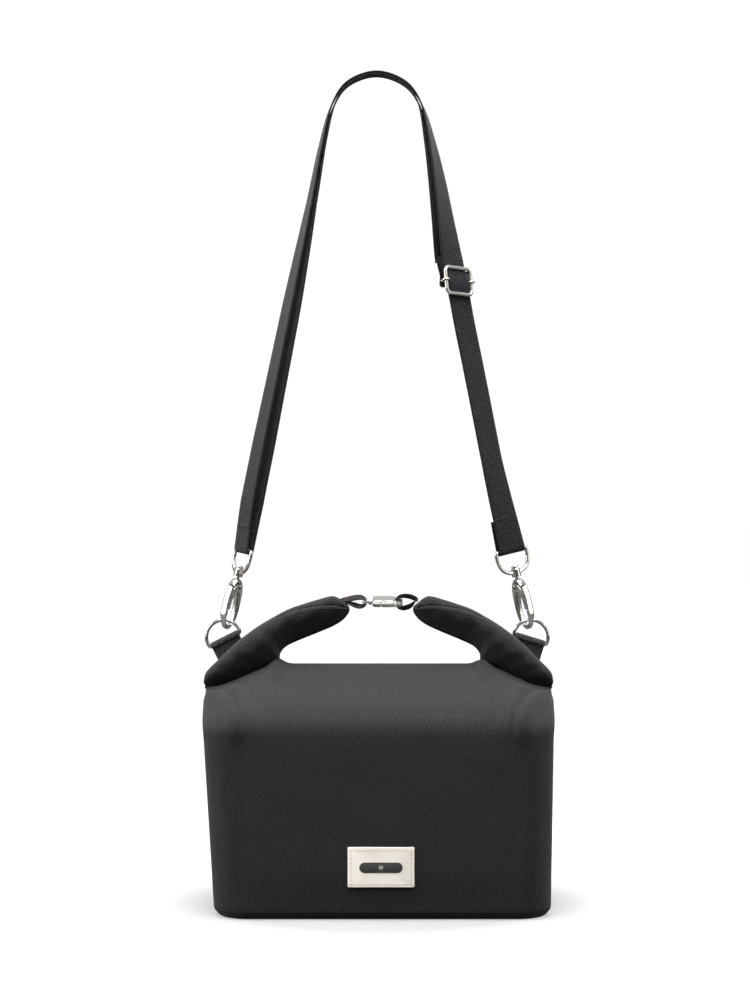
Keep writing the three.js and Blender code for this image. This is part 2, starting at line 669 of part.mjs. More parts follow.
/** Frame of the strap at parameter s: both layers' centres, travel, outward normal and width. */
function strapFrame(s) {
  const place = s * (STRAP_ROUTE.length - 1);
  const low = Math.min(Math.floor(place), STRAP_ROUTE.length - 2);
  const blend = (column) => lerp(STRAP_ROUTE[low][column], STRAP_ROUTE[low + 1][column], place - low);
  const twist = rad(blend(2));
  const travel = strapCurve.getTangent(s);
  const flat = v3(travel.z, 0, -travel.x);
  const normal = flat.multiplyScalar(Math.cos(twist)).add(v3(0, -Math.sin(twist), 0));
  const width = new THREE.Vector3().crossVectors(travel, normal);
  const core = strapCurve.getPoint(s);
  const outer = core.clone().addScaledVector(normal, blend(3) / 2);
  const inner = core.clone().addScaledVector(normal, -blend(3) / 2);
  return { core, outer, inner, travel, normal, width };
}

/** Four corners of the webbing section, lying across `width` with `normal` through it. */
function webbingSection(centre, normal, width, halfWidth = STRAP_WIDTH / 2) {
  return [[-1, 1], [1, 1], [1, -1], [-1, -1]].map(([w, n]) => (
    centre.clone()
      .addScaledVector(width, w * halfWidth)
      .addScaledVector(normal, (n * WEBBING) / 2)
  ));
}

/** Half turn of webbing round a bar, from the inner side to the outer side or back. */
function foldSections(frame, down, fromInner) {
  const steps = 6;
  return Array.from({ length: steps - 1 }, (_, i) => {
    const angle = (Math.PI * (i + 1)) / steps * (fromInner ? 1 : -1) + (fromInner ? Math.PI : 0);
    const out = frame.normal.clone().multiplyScalar(Math.cos(angle))
      .addScaledVector(down, Math.abs(Math.sin(angle)));
    const centre = frame.core.clone().addScaledVector(out, EYE_LAYER);
    return webbingSection(centre, out, frame.width);
  });
}

/** One webbing from the sewn right end, over the shoulder, round the left eye and back. */
function strapGeometry() {
  const last = STRAP_ROUTE.length - 1;
  const tail = [0.6, 0.3, 0].map((step) => strapFrame(step / last));
  const whole = Array.from({ length: 3 * last + 1 }, (_, i) => strapFrame(i / (3 * last)));
  const start = whole[0];
  const end = whole[3 * last];
  const backwards = (f) => webbingSection(f.inner, f.normal.clone().negate(), f.width);
  return skin([
    ...tail.map(backwards),
    ...foldSections(start, start.travel.clone().negate(), true),
    ...whole.map((f) => webbingSection(f.outer, f.normal, f.width)),
    ...foldSections(end, end.travel, false),
    ...whole.slice(3 * RETURN_END_ROW).reverse().map(backwards),
  ], false);
}

/** Everything at the slider is drawn with Z along the strap, Y inwards and X across. */
function addSlider() {
  let s = 0;
  while (strapCurve.getPoint(s).z < SLIDER_HEIGHT) s += 0.0005;
  const f = strapFrame(s);
  const slider = new THREE.Group();
  slider.position.copy(f.outer);
  slider.quaternion.setFromRotationMatrix(
    new THREE.Matrix4().makeBasis(f.width, f.normal.clone().negate(), f.travel),
  );
  bag.add(slider);
  const halfWidth = STRAP_WIDTH / 2 + 0.6 + SLIDER_WIRE;
  const frameY = -(WEBBING / 2 + GAP + SLIDER_WIRE);
  const barY = WEBBING / 2 + 3 * GAP + WEBBING + GAP + 1.4;
  const outline = roundedRectangle(halfWidth, 10.6, 4).getSpacedPoints(20).slice(1);
  const path = new THREE.CatmullRomCurve3(outline.map((p) => v3(p.x, frameY, p.y)), true);
  const frame = welded(new THREE.TubeGeometry(path, 40, SLIDER_WIRE, 8, true));
  addPiece(slider, 'slider_frame', frame, satinNickel());
  addPiece(slider, 'slider_bar', sliderBarGeometry(halfWidth, frameY, barY), satinNickel());
  addPiece(slider, 'strap_end_loop', endLoopGeometry(barY), webbingCloth());
}

/** Sliding bar: a rod with a forked cheek at each end that grips the frame's side. */
function sliderBarGeometry(halfWidth, frameY, barY) {
  const reach = halfWidth + SLIDER_WIRE + GAP;
  const rod = post(1.4, -reach - 0.6, reach + 0.6, 12).rotateY(Math.PI / 2).translate(0, barY, 0);
  const cheeks = [-1, 1].map((side) => (
    box(1.1, barY - frameY + 2.8, 2.6, side * (reach + 0.55), (barY + frameY) / 2, 0)
  ));
  return carve([rod, ...cheeks]);
}

/** The strap's sewn end: a hairpin round the slider's bar with both legs running up. */
function endLoopGeometry(barY) {
  const eye = 1.4 + GAP;
  const outer = eye + WEBBING;
  const shape = new THREE.Shape();
  shape.moveTo(-0.1, LOOP_LENGTH);
  shape.lineTo(-outer, LOOP_LENGTH);
  shape.lineTo(-outer, 0);
  shape.absarc(0, 0, outer, Math.PI, 2.1 * Math.PI);
  shape.lineTo(-0.1, 7);
  shape.holes.push(circle(0, 0, eye));
  return sideways(slab(shape, STRAP_WIDTH, 10)).translate(0, barY, 0);
}

// ---- label ----
function addLabel() {
  const patch = slab(roundedRectangle(25.6, 15.4, 0.6), 0.8, 2);
  const faceY = -HALF_DEPTH - GAP;
  addPiece(bag, 'label_patch', upright(patch), cream(), v3(1.8, faceY - 0.4, 41.5));
  const badge = slab(roundedRectangle(16.6, 4, 1.2), 0.4, 3);
  addPiece(bag, 'label_badge', upright(badge), darkInk(), v3(1.8, faceY - 0.8 - GAP - 0.2, 41.2));
}

addBody();
addNeck();
addHandle();
addClip();
addTabAndRing('left', -123.5, 210.2, -26.6, 43);
addTabAndRing('right', 122, 210.1, 17, 41);
addHook('left', LEFT_CONTACT_X, HOOK_TILT, HOOK_YAW, -62);
addHook('right', RIGHT_CONTACT_X, -HOOK_TILT, 180 - HOOK_YAW, 32);
addPiece(bag, 'shoulder_strap', strapGeometry(), webbingCloth());
addSlider();
addLabel();

export default bag;
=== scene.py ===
"""Insulated roll-top cooler bag: fabric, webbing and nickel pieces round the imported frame."""
import json
import math

import bmesh
import bpy
import numpy as np
from mathutils import Matrix, Vector


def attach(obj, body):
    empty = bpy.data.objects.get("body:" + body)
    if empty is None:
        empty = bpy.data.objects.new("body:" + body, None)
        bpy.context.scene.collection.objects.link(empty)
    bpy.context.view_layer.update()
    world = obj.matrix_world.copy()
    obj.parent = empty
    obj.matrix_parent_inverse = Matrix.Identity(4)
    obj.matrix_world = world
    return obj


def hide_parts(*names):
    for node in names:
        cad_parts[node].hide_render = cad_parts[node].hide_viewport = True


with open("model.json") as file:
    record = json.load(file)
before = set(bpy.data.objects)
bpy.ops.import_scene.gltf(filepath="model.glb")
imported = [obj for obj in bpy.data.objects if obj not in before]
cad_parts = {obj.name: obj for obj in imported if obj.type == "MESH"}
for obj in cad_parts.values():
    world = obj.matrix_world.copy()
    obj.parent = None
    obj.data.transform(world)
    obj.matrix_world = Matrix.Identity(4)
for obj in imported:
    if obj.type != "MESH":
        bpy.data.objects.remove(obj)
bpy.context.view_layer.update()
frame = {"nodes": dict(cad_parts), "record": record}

NODES = frame["nodes"]
BODY_OF = {
    node: body
    for body, nodes in frame["record"]["behaviour"]["bodies"].items()
    for node in nodes
}
MM = 0.001

# ---- sizes in millimetres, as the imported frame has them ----
BASE_HALF_WIDTH, BEND_HALF_WIDTH, CREST_HALF_WIDTH = 131, 136.5, 139.5
BASE_LEAN = 3.1
HALF_DEPTH = 77
CORNER_RADIUS = 27
FOOT_RADIUS = 8
BEND_HEIGHT = 140
CREST_HEIGHT, CREST_FALL = 192, 17
GAP_HALF_WIDTH = 76
MOUTH_FRONT_Y, MOUTH_BACK_Y, MOUTH_BACK_DROP = -4, 13, 14
FABRIC = 1.2
HARDWARE_Y = 13
HANG_Z = 226
HOOK_TILT = 13
HOOK_LENGTH = 58.4
WEBBING = 1.4
STRAP_WIDTH = 25
RING_WIRE, EYE_WIRE, SLIDER_WIRE, BAR_RADIUS = 1.4, 1.5, 1.5, 1.4
SLACK = 0.3
LEFT_CONTACT_X, RIGHT_CONTACT_X = -121.5, 119.6
ARM_REACH, RIGHT_ARM_STRETCH = 140.6, 0.962
CLIP_TILT, CLIP_Z = 22, 241.4
LABEL_Y = -79.1
# shares of the way to the mouth at which the shoulder stops rising and starts to lean in
SHOULDER_UPRIGHT, SHOULDER_TURN = 0.42, 0.24

ACROSS, FRONTWARD = np.array([1.0, 0.0, 0.0]), np.array([0.0, -1.0, 0.0])


def link(item):
    """Puts an object in the scene."""
    bpy.context.scene.collection.objects.link(item)


# ---- camera ----
def aim_camera():
    """Level camera straight in front, 1.9 m off, 323 mm above the ground."""
    data = bpy.data.cameras.new("camera")
    data.lens, data.sensor_width = 85.5, 36
    camera = bpy.data.objects.new("camera", data)
    camera.location = (-0.0028, -1.9, 0.323)
    camera.rotation_euler = (math.radians(90), 0, 0)
    link(camera)
    bpy.context.scene.camera = camera


aim_camera()


# ---- arithmetic on whole arrays ----
def smooth(x, low, high):
    """Rises from 0 at low to 1 at high, level at both ends."""
    t = np.clip((np.asarray(x, float) - low) / (high - low), 0, 1)
    return t * t * (3 - 2 * t)


def lerp(a, b, t):
    """Straight blend from a at t = 0 to b at t = 1."""
    return a + (b - a) * t


def unit(v):
    """Vectors scaled to length 1."""
    return v / np.linalg.norm(v, axis=-1, keepdims=True)


def hump(x, middle, spread):
    """Bell curve of height 1."""
    return np.exp(-(((x - middle) / spread) ** 2))


def circle(count):
    """Angles of evenly spaced points round a circle."""
    return np.linspace(0, 2 * np.pi, count, endpoint=False)


def bezier(t, start, first, second, end):
    """Cubic Bezier between two values with two handles."""
    u = 1 - t
    return u ** 3 * start + 3 * u * u * t * first + 3 * u * t * t * second + t ** 3 * end


def spline(points, s, closed=False):
    """Catmull-Rom curve through the points at places s, where point k lies at s = k."""
    p = np.asarray(points, float)
    if closed:
        p = np.vstack([p[-1:], p, p[:2]])
        s = np.mod(s, len(points))
    else:
        p = np.vstack([2 * p[0] - p[1], p, 2 * p[-1] - p[-2]])
    k = np.clip(np.floor(s).astype(int), 0, len(p) - 4)
    t = (s - k)[:, None]
    a, b, c, d = (p[k + i] for i in range(4))
    return 0.5 * (2 * b + (c - a) * t + (2 * a - 5 * b + 4 * c - d) * t ** 2
                  + (3 * b - a - 3 * c + d) * t ** 3)


def evenly(points, count, closed=False):
    """Points of the curve through `points`, evenly spaced along its length."""
    last = len(points) if closed else len(points) - 1
    s = np.linspace(0, last, 24 * last + 1)
    fine = spline(points, s[:-1] if closed else s, closed)
    if closed:
        fine = np.vstack([fine, fine[:1]])
    run = np.r_[0, np.cumsum(np.linalg.norm(np.diff(fine, axis=0), axis=1))]
    wanted = np.linspace(0, run[-1], count + 1 if closed else count)
    even = np.stack([np.interp(wanted, run, fine[:, k]) for k in range(fine.shape[1])], 1)
    return even[:-1] if closed else even


def tangents(path, closed=False):
    """Direction of travel at each point of a path."""
    if closed:
        return unit(np.roll(path, -1, 0) - np.roll(path, 1, 0))
    return unit(np.gradient(path, axis=0))


def turn(points, axis, degrees):
    """Points turned about an axis through the origin."""
    matrix = np.array(Matrix.Rotation(math.radians(degrees), 3, axis))
    return points @ matrix.T


# ---- meshes ----
def measured(points, wrap):
    """Length in mm along each row and each column, for a pattern that follows the surface."""
    rows_closed, cols_closed = wrap
    full = points
    if cols_closed:
        full = np.concatenate([full, full[:, :1]], 1)
    if rows_closed:
        full = np.concatenate([full, full[:1]], 0)
    along_row = np.linalg.norm(np.diff(full, axis=1), axis=2).cumsum(1)
    along_col = np.linalg.norm(np.diff(full, axis=0), axis=2).cumsum(0)
    u = np.concatenate([np.zeros((len(full), 1)), along_row], 1)
    u -= u[:, -1:] / 2
    v = np.concatenate([np.zeros((1, full.shape[1])), along_col], 0)
    return np.stack([u, v], -1)


def surface(name, points, wrap=(False, False), capped=False, uv=None, sharp=50):
    """Quads over a grid of points (rows, columns, xyz) in mm, closed where wrap says."""
    rows, cols, _ = points.shape
    r = np.arange(rows if wrap[0] else rows - 1)
    c = np.arange(cols if wrap[1] else cols - 1)
    r, c = (a.ravel() for a in np.meshgrid(r, c, indexing="ij"))
    r1, c1 = (r + 1) % rows, (c + 1) % cols
    quads = np.stack([r * cols + c, r * cols + c1, r1 * cols + c1, r1 * cols + c], 1)
    faces = quads.tolist()
    uv = measured(points, wrap) if uv is None else uv
    corner = np.stack([uv[r, c], uv[r, c + 1], uv[r + 1, c + 1], uv[r + 1, c]], 1).reshape(-1, 2)
    if capped:
        faces.append(list(range(cols))[::-1])
        faces.append(list(range((rows - 1) * cols, rows * cols)))
        ends = np.concatenate([points[0, ::-1], points[-1]])[:, [0, 2]]
        corner = np.concatenate([corner, ends])
    mesh = bpy.data.meshes.new(name)
    mesh.from_pydata((points.reshape(-1, 3) * MM).tolist(), [], faces)
    layer = mesh.uv_layers.new(name="cloth_mm")
    layer.data.foreach_set("uv", corner.astype(np.float32).ravel())
    return finished(name, mesh, sharp)


def finished(name, mesh, sharp):
    """Object for a mesh, its faces outwards and smooth up to the sharp angle."""
    work = bmesh.new()
    work.from_mesh(mesh)
    bmesh.ops.recalc_face_normals(work, faces=work.faces)
    work.to_mesh(mesh)
    work.free()
    mesh.polygons.foreach_set("use_smooth", [True] * len(mesh.polygons))
    mesh.set_sharp_from_angle(angle=math.radians(sharp))
    piece = bpy.data.objects.new(name, mesh)
    link(piece)
    return piece


def settle(piece, body, material, *replaced, slot=None):
    """Gives a finished piece its material, its body and the frame nodes it stands for."""
    piece.data.materials.clear()
    piece.data.materials.append(material)
    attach(piece, body)
    if replaced:
        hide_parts(*replaced)
    return piece


def refined(node, material, bevel):
    """Copy of a frame node, merged, flats joined, with its edges rounded by bevel mm."""
    mesh = NODES[node].data.copy()
    work = bmesh.new()
    work.from_mesh(mesh)
    bmesh.ops.remove_doubles(work, verts=work.verts, dist=1e-6)
    bmesh.ops.dissolve_limit(
        work, angle_limit=math.radians(1.5), verts=work.verts, edges=work.edges)
    work.to_mesh(mesh)
    work.free()
    mesh.polygons.foreach_set("use_smooth", [True] * len(mesh.polygons))
    piece = bpy.data.objects.new(f"{node}_finished", mesh)
    link(piece)
    edge = piece.modifiers.new("rounded_edges", "BEVEL")
    edge.width, edge.segments = bevel * MM, 3
    edge.limit_method, edge.angle_limit = "ANGLE", math.radians(40)
    edge.harden_normals = True
    return settle(piece, BODY_OF[node], material, node)


def tube(path, radius, closed=False):
    """Circle of radius mm carried along a path: p + r cos(a) side + r sin(a) up."""
    along = tangents(path, closed)
    side = np.broadcast_to(-FRONTWARD, path.shape)
    side = unit(side - along * (side * along).sum(1, keepdims=True))
    up = np.cross(along, side)
    a = circle(14)[None, :, None]
    r = np.broadcast_to(np.asarray(radius, float).reshape(-1, 1, 1), (len(path), 1, 1))
    ring = path[:, None] + r * (np.cos(a) * side[:, None] + np.sin(a) * up[:, None])
    return ring, (closed, True)


def ribbon_section(thickness, width):
    """Outline of flat webbing: straight faces and half-round edges, (across, through) in mm."""
    r = thickness / 2
    a = np.linspace(-90, 90, 5) * np.pi / 180
    right = np.stack([width / 2 - r + r * np.cos(a), r * np.sin(a)], 1)
    flat = np.linspace(width / 2 - r, -width / 2 + r, 9)[1:-1]
    top = np.stack([flat, np.full_like(flat, r)], 1)
    return np.concatenate([right, top, -right, -top])


def ribbon(name, centre, across, through, thickness=WEBBING, width=STRAP_WIDTH):
    """Flat webbing carried along centre, lying along `across` with its thickness on `through`."""
    w, t = ribbon_section(thickness, width).T
    points = (centre[:, None] + w[None, :, None] * across[:, None]
              + t[None, :, None] * through[:, None])
    run = np.r_[0, np.linalg.norm(np.diff(centre, axis=0), axis=1).cumsum()]
    u = np.r_[w, w[0]]
    uv = np.stack(np.broadcast_arrays(u[None], run[:, None]), -1)
    return surface(name, points, (False, True), True, uv, 60)


def stitches(name, places, directions, normals, length=2.6, radius=0.3):
    """One mesh of many thread stitches: rounded rods lying along their seam."""
    sides = 6
    a = circle(sides)
    t = np.array([-0.5, -0.4, 0.4, 0.5])
    swell = np.array([0.35, 1, 1, 0.35])
    side = np.cross(normals, directions)
    ring = (np.cos(a)[None, :, None, None] * side + np.sin(a)[None, :, None, None] * normals)
    rods = (places + length * t[:, None, None, None] * directions
            + radius * swell[:, None, None, None] * ring)
    rods = np.moveaxis(rods, 2, 0) * MM
    count = len(places)
    r, c = (x.ravel() for x in np.meshgrid(range(3), range(sides), indexing="ij"))
    low, high, turned = r * sides, (r + 1) * sides, (c + 1) % sides
    quads = np.stack([low + c, low + turned, high + turned, high + c], 1)
    first = len(t) * sides * np.arange(count)[:, None, None]
    quads = (quads[None] + first).reshape(-1, 4).tolist()
    caps = np.array([range(sides - 1, -1, -1), range(3 * sides, 4 * sides)])
    caps = (caps[None] + first).reshape(-1, sides).tolist()
    mesh = bpy.data.meshes.new(name)
    mesh.from_pydata(rods.reshape(-1, 3).tolist(), [], quads + caps)
    return finished(name, mesh, 60)


def stitch_row(name, centre, across, outward, radius, body):
    """Eight stitches in line across the strap's webbing."""
    spots = centre + across * np.linspace(-10.5, 10.5, 8)[:, None]
    lie, face = np.broadcast_to(across, spots.shape), np.broadcast_to(outward, spots.shape)
    settle(stitches(name, spots, lie, face, 2.2, radius), body, BLACK_THREAD, slot="webbing")


# ---- materials ----
def paint(hex_colour):
    """Linear colour of an sRGB hex value."""
    s = np.array([int(hex_colour[i:i + 2], 16) for i in (1, 3, 5)]) / 255
    line = np.where(s <= 0.04045, s / 12.92, ((s + 0.055) / 1.055) ** 2.4)
    return (*line.tolist(), 1.0)


def add(tree, kind, links=(), **settings):
    """Adds a shader node. settings are its properties or input values; links are (input, source).

    A source is an output, or a node that gives its first output.
    """
    node = tree.nodes.new("ShaderNode" + kind)
    for key, value in settings.items():
        if hasattr(node, key):
            setattr(node, key, value)
        else:
            node.inputs[key.replace("_", " ")].default_value = value
    for target, source in links:
        output = source.outputs[0] if hasattr(source, "outputs") else source
        tree.links.new(output, node.inputs[target])
    return node


def material(name, **shader):
    """Empty material with one Principled shader whose sockets are set as given."""
    made = bpy.data.materials.new(name)
    made.use_nodes = True
    tree = made.node_tree
    bsdf = tree.nodes["Principled BSDF"]
    for key, value in shader.items():
        bsdf.inputs[key.replace("_", " ")].default_value = value
    return made, tree, bsdf


def dress(tree, bsdf, factor, low, high, height, strength, distance=0.0002):
    """Colours a surface from low to high by factor, and raises it by height."""
    shade = add(tree, "Mix", [("Factor", factor)], data_type="RGBA")
    shade.inputs["A"].default_value = paint(low)
    shade.inputs["B"].default_value = paint(high)
    tree.links.new(shade.outputs["Result"], bsdf.inputs["Base Color"])
    relief = add(tree, "Bump", [("Height", height)],
                 Strength=strength, Distance=distance)
    tree.links.new(relief.outputs["Normal"], bsdf.inputs["Normal"])


def bands_scale(period_mm):
    """Scale of a band texture whose bands repeat every period_mm, on coordinates in mm."""
    return 2 * math.pi / 20 / period_mm


def cloth(name, dark, light, thread_mm, bump, sheen, rib_mm=None, grid=0.12):
    """Woven cloth: two crossed sets of threads, uneven yarn and a soft fuzz of loose fibres."""
    made, tree, bsdf = material(
        name, Roughness=0.85, Sheen_Weight=sheen, Sheen_Roughness=0.45,
        Sheen_Tint=paint("#d8dadd"), Specular_IOR_Level=0.12)
    spot = add(tree, "TexCoord").outputs["UV"]
    loose = 0.6 if rib_mm else 5.0
    warp = add(tree, "TexWave", [("Vector", spot)], bands_direction="X",
               Scale=bands_scale(thread_mm), Distortion=loose, Detail=1.0)
    weft = add(tree, "TexWave", [("Vector", spot)], bands_direction="Y",
               Scale=bands_scale(rib_mm or thread_mm), Distortion=loose, Detail=1.0)
    weave = add(tree, "Math", [(0, warp.outputs["Fac"]), (1, weft.outputs["Fac"])],
                operation="MULTIPLY" if rib_mm is None else "ADD")
    slant = add(tree, "Mapping", [("Vector", spot)],
                Rotation=(0, 0, math.radians(32)), Scale=(1, 2.1, 1.5))
    yarn = add(tree, "TexNoise", [("Vector", slant)],
               Scale=0.8 / thread_mm, Detail=3.0, Roughness=0.75)
    cloudy = add(tree, "TexNoise", [("Vector", spot)], Scale=0.02, Detail=2.0)
    patchy = add(tree, "MapRange", [("Value", cloudy)],
                 To_Min=0.44, To_Max=0.56)
    faint = add(tree, "MapRange", [("Value", weave)],
                To_Min=1 - grid, To_Max=1 + grid)
    speck = add(tree, "MapRange", [("Value", yarn)],
                From_Min=0.36, From_Max=0.64, To_Min=0.03, To_Max=0.97)
    mixed = add(tree, "Math", [(0, speck),
                                         (1, faint)], operation="MULTIPLY")
    even = add(tree, "Math", [(0, mixed), (1, patchy)],
               operation="MULTIPLY")
    tone = add(tree, "MapRange", [("Value", even)],
               From_Min=0.0, From_Max=0.6)
    height = add(tree, "Math", [(0, weave), (1, yarn)],
                 operation="ADD")
    dress(tree, bsdf, tone.outputs["Result"], dark, light, height.outputs[0], bump)
    return made


MARK_MM = 0.4


def plated(name, colour, rough, brushed=0.0):
    """Nickel plate over zinc: mirror-like with faint handling marks, or brushed to a satin."""
    made, tree, bsdf = material(name, Base_Color=paint(colour), Metallic=1.0)
    place = add(tree, "TexCoord")
    spot = add(tree, "Mapping", [("Vector", place.outputs["Object"])],
               Scale=(1000, 1000, 1000))
    marks = add(tree, "TexNoise", [("Vector", spot)],
                Scale=0.35 / MARK_MM, Detail=4.0)
    haze = add(tree, "MapRange", [("Value", marks)],
               To_Min=rough * 0.7, To_Max=rough * 1.5)
    tree.links.new(haze.outputs["Result"], bsdf.inputs["Roughness"])
    relief = add(tree, "Bump", [("Height", marks)],
                 Strength=0.05 + brushed, Distance=0.0001)
    tree.links.new(relief.outputs["Normal"], bsdf.inputs["Normal"])
    return made


def foam_material():
    """Cross-linked polyethylene foam, cut from a block: pale, matte, fine closed cells."""
    made, tree, bsdf = material("closed_cell_foam", Roughness=0.9)
    place = add(tree, "TexCoord")
    cells = add(tree, "TexVoronoi", [("Vector", place.outputs["Object"])], Scale=900.0)
    near = cells.outputs["Distance"]
    dress(tree, bsdf, near, "#c9ccce", "#e4e6e7", near, 0.4, 0.0003)
    return made


def sheet_material(name, low, high, rough, grain_mm, bump):
    """Calendered sheet, such as lining film, board or coated label stock: faint pebbled grain."""
    made, tree, bsdf = material(name, Roughness=rough)
    place = add(tree, "TexCoord")
    grain = add(tree, "TexNoise", [("Vector", place.outputs["Object"])],
                Scale=500 / grain_mm, Detail=5.0, Roughness=0.65)
    cloudy = add(tree, "TexNoise", [("Vector", place.outputs["Object"])], Scale=60.0)
    both = add(tree, "Math",
               [(0, grain), (1, cloudy)], operation="MULTIPLY")
    tone = add(tree, "MapRange", [("Value", both)],
               From_Min=0.1, From_Max=0.42)
    dress(tree, bsdf, tone.outputs["Result"], low, high, grain.outputs["Fac"], bump)
    return made


# Matt near-black weave with a soft pale fuzz; threads drawn 1.2 mm wide so that they show.
POLYESTER = cloth("woven_polyester_600d", "#0b0b0c", "#3c3c3d", 1.2, 0.9, sheen=0.18)
# Webbing and tapes: cross ribs catch thin lines of light, a little warmer than the bag's cloth.
WEBBING_CLOTH = cloth("ribbed_polyester_webbing", "#0b0a0c", "#28252a", 2.0, 0.8,
                      sheen=0.2, rib_mm=1.2, grid=0.3)
TAB_CLOTH = cloth("coarse_ribbed_webbing", "#121013", "#4a454a", 1.7, 1.0,
                  sheen=0.3, rib_mm=1.2, grid=0.7)
LOOP_CLOTH = cloth("narrow_polyester_tape", "#161213", "#3a3233", 1.2, 0.7, sheen=0.25,
                   rib_mm=1.0, grid=0.3)
# Polished castings mirror the room softly; the slider and clip are duller; springs are greyer.
BRIGHT_NICKEL = plated("polished_nickel", "#bdbab5", 0.17)
SATIN_NICKEL = plated("satin_nickel", "#bcb9b3", 0.34, brushed=0.1)
SPRING_STEEL = plated("spring_steel_wire", "#b4b4b6", 0.25)
# Inside pieces: pale matt foam, slightly shiny lining film, dark fibre board.
FOAM = foam_material()
LINING = sheet_material("heat_sealed_lining_film", "#aeb3b8", "#c8ccd0", 0.4, 1.5, 0.3)
BOARD = sheet_material("stiffening_board", "#2e2e30", "#48484a", 0.75, 1.0, 0.2)
# Label: chalky cream cotton, dark printed badge with a pale mark, dull thread.
PATCH = sheet_material("coated_cotton_label", "#f8f0e2", "#fffaf0", 0.85, 1.0, 0.35)
INK = sheet_material("screen_printed_ink", "#2b2927", "#3d3a37", 0.6, 0.8, 0.1)
PALE_INK = sheet_material("pale_screen_ink", "#b9b4aa", "#d6d1c6", 0.7, 0.8, 0.1)
BLACK_THREAD = sheet_material("black_polyester_thread", "#121213", "#2c2c2e", 0.7, 0.4, 0.3)
BEIGE_THREAD = sheet_material("beige_polyester_thread", "#c9bca6", "#ddd2bf", 0.75, 0.4, 0.3)


# ---- bag body ----
def arm_side_reach(x):
    """Distance from the middle, the shorter right arm's stretched to the left arm's measure."""
    return np.where(x < 0, -x, ARM_REACH - (ARM_REACH - x) / RIGHT_ARM_STRETCH)


def crest_height(x):
    """Front edge of the mouth: level in the middle, falling under the arms on both sides."""
    return CREST_HEIGHT - CREST_FALL * smooth(arm_side_reach(x), GAP_HALF_WIDTH, 132)


def gap_fillet(x):
    """Small rise of the crest into each arm, which rounds the ends of the finger gap."""
    return 4.4 * hump(arm_side_reach(x), GAP_HALF_WIDTH + 5, 6)


def plan():
    """Rounded-rectangle outline from the middle of the back, as corner signs and directions."""
    corners = [(-1, 1, 90), (-1, -1, 180), (1, -1, 270), (1, 1, 0)]
    rows = [(lerp(0, -1, f), 1, 0, 1) for f in np.linspace(0, 1, 20, endpoint=False)]
    for k, (cx, cy, start) in enumerate(corners):
        angles = np.radians(start + np.linspace(0, 90, 22 if cy < 0 else 9))
        rows += [(cx, cy, math.cos(a), math.sin(a)) for a in angles]
        if k == 3:
            break
        nx, ny, _ = corners[k + 1]
        steps = 130 if ny == cy else 18
        ax, ay = rows[-1][2:]
        rows += [(lerp(cx, nx, f), lerp(cy, ny, f), ax, ay)
                 for f in np.linspace(0, 1, steps + 1)[1:-1]]
    rows += [(lerp(1, 0, f), 1, 0, 1) for f in np.linspace(0, 1, 20)[1:-1]]
    return np.array(rows).T


PLAN = plan()


def wall_ring(z, inset):
    """Levels of the upright walls at heights z, each inset mm inside the outer surface."""
    z, inset = (np.asarray(a, float)[:, None] for a in (z, inset))
    cx, cy, ax, ay = (a[None] for a in PLAN)
    rise = z / BEND_HEIGHT
    radius = CORNER_RADIUS - inset
    half_width = lerp(BASE_HALF_WIDTH, BEND_HALF_WIDTH, rise) - inset
    half_depth = HALF_DEPTH - inset
    x = BASE_LEAN * (1 - rise) + cx * (half_width - radius) + ax * radius
    y = cy * (half_depth - radius) + ay * radius
    return np.stack([x, y, np.broadcast_to(z, x.shape)], -1)


def shoulder(t):
    """Levels of the shoulder, t = 0 at the bend, 1 at the mouth: cubic Beziers in y and z."""
    bend = wall_ring([BEND_HEIGHT], [0])[0]
    t = np.asarray(t, float)[:, None]
    back = (bend[:, 1] + HALF_DEPTH) / (2 * HALF_DEPTH)
    end_y = lerp(MOUTH_FRONT_Y, MOUTH_BACK_Y, back)
    end_z = crest_height(bend[:, 0]) - MOUTH_BACK_DROP * back
    x = bend[:, 0] * lerp(1, CREST_HALF_WIDTH / BEND_HALF_WIDTH, t * (1 - t / 2))
    y = bezier(t, bend[:, 1], bend[:, 1], lerp(bend[:, 1], end_y, SHOULDER_TURN), end_y)
    upright, sloping = (lerp(BEND_HEIGHT, end_z, f) for f in (SHOULDER_UPRIGHT, 0.5))
    z = bezier(t, BEND_HEIGHT, upright, sloping, end_z)
    z = z + gap_fillet(x) * smooth(t, 0.78, 1.0)
    return np.stack([x, y, z], -1)


def tuck(e):
    """Rows past the mouth's edge, turned in under the roll and, at the ends, up to the arms."""
    edge = shoulder([1])[0]
    bend = wall_ring([BEND_HEIGHT], [0])[0]
    back = (bend[:, 1] + HALF_DEPTH) / (2 * HALF_DEPTH)
    e = np.asarray(e, float)[:, None]
    lift = MOUTH_BACK_DROP * smooth(np.abs(edge[:, 0]), GAP_HALF_WIDTH, 88)
    y = edge[:, 1] + lerp(4, -5, back) * np.sin(e * np.pi / 2)
    z = edge[:, 2] + lerp(-3, 0, back) * (1 - np.cos(e * np.pi / 2)) + back * lift * e
    return np.stack([np.broadcast_to(edge[:, 0], y.shape), y, z], -1)


# x, z of the fold's line on the front, from the top corner inwards and down
RIDGE = np.array([(139, 174.5), (131, 173.5), (123, 171.5), (115, 168.5), (110.5, 164.5),
                  (106, 157), (104, 148), (103, 125)])


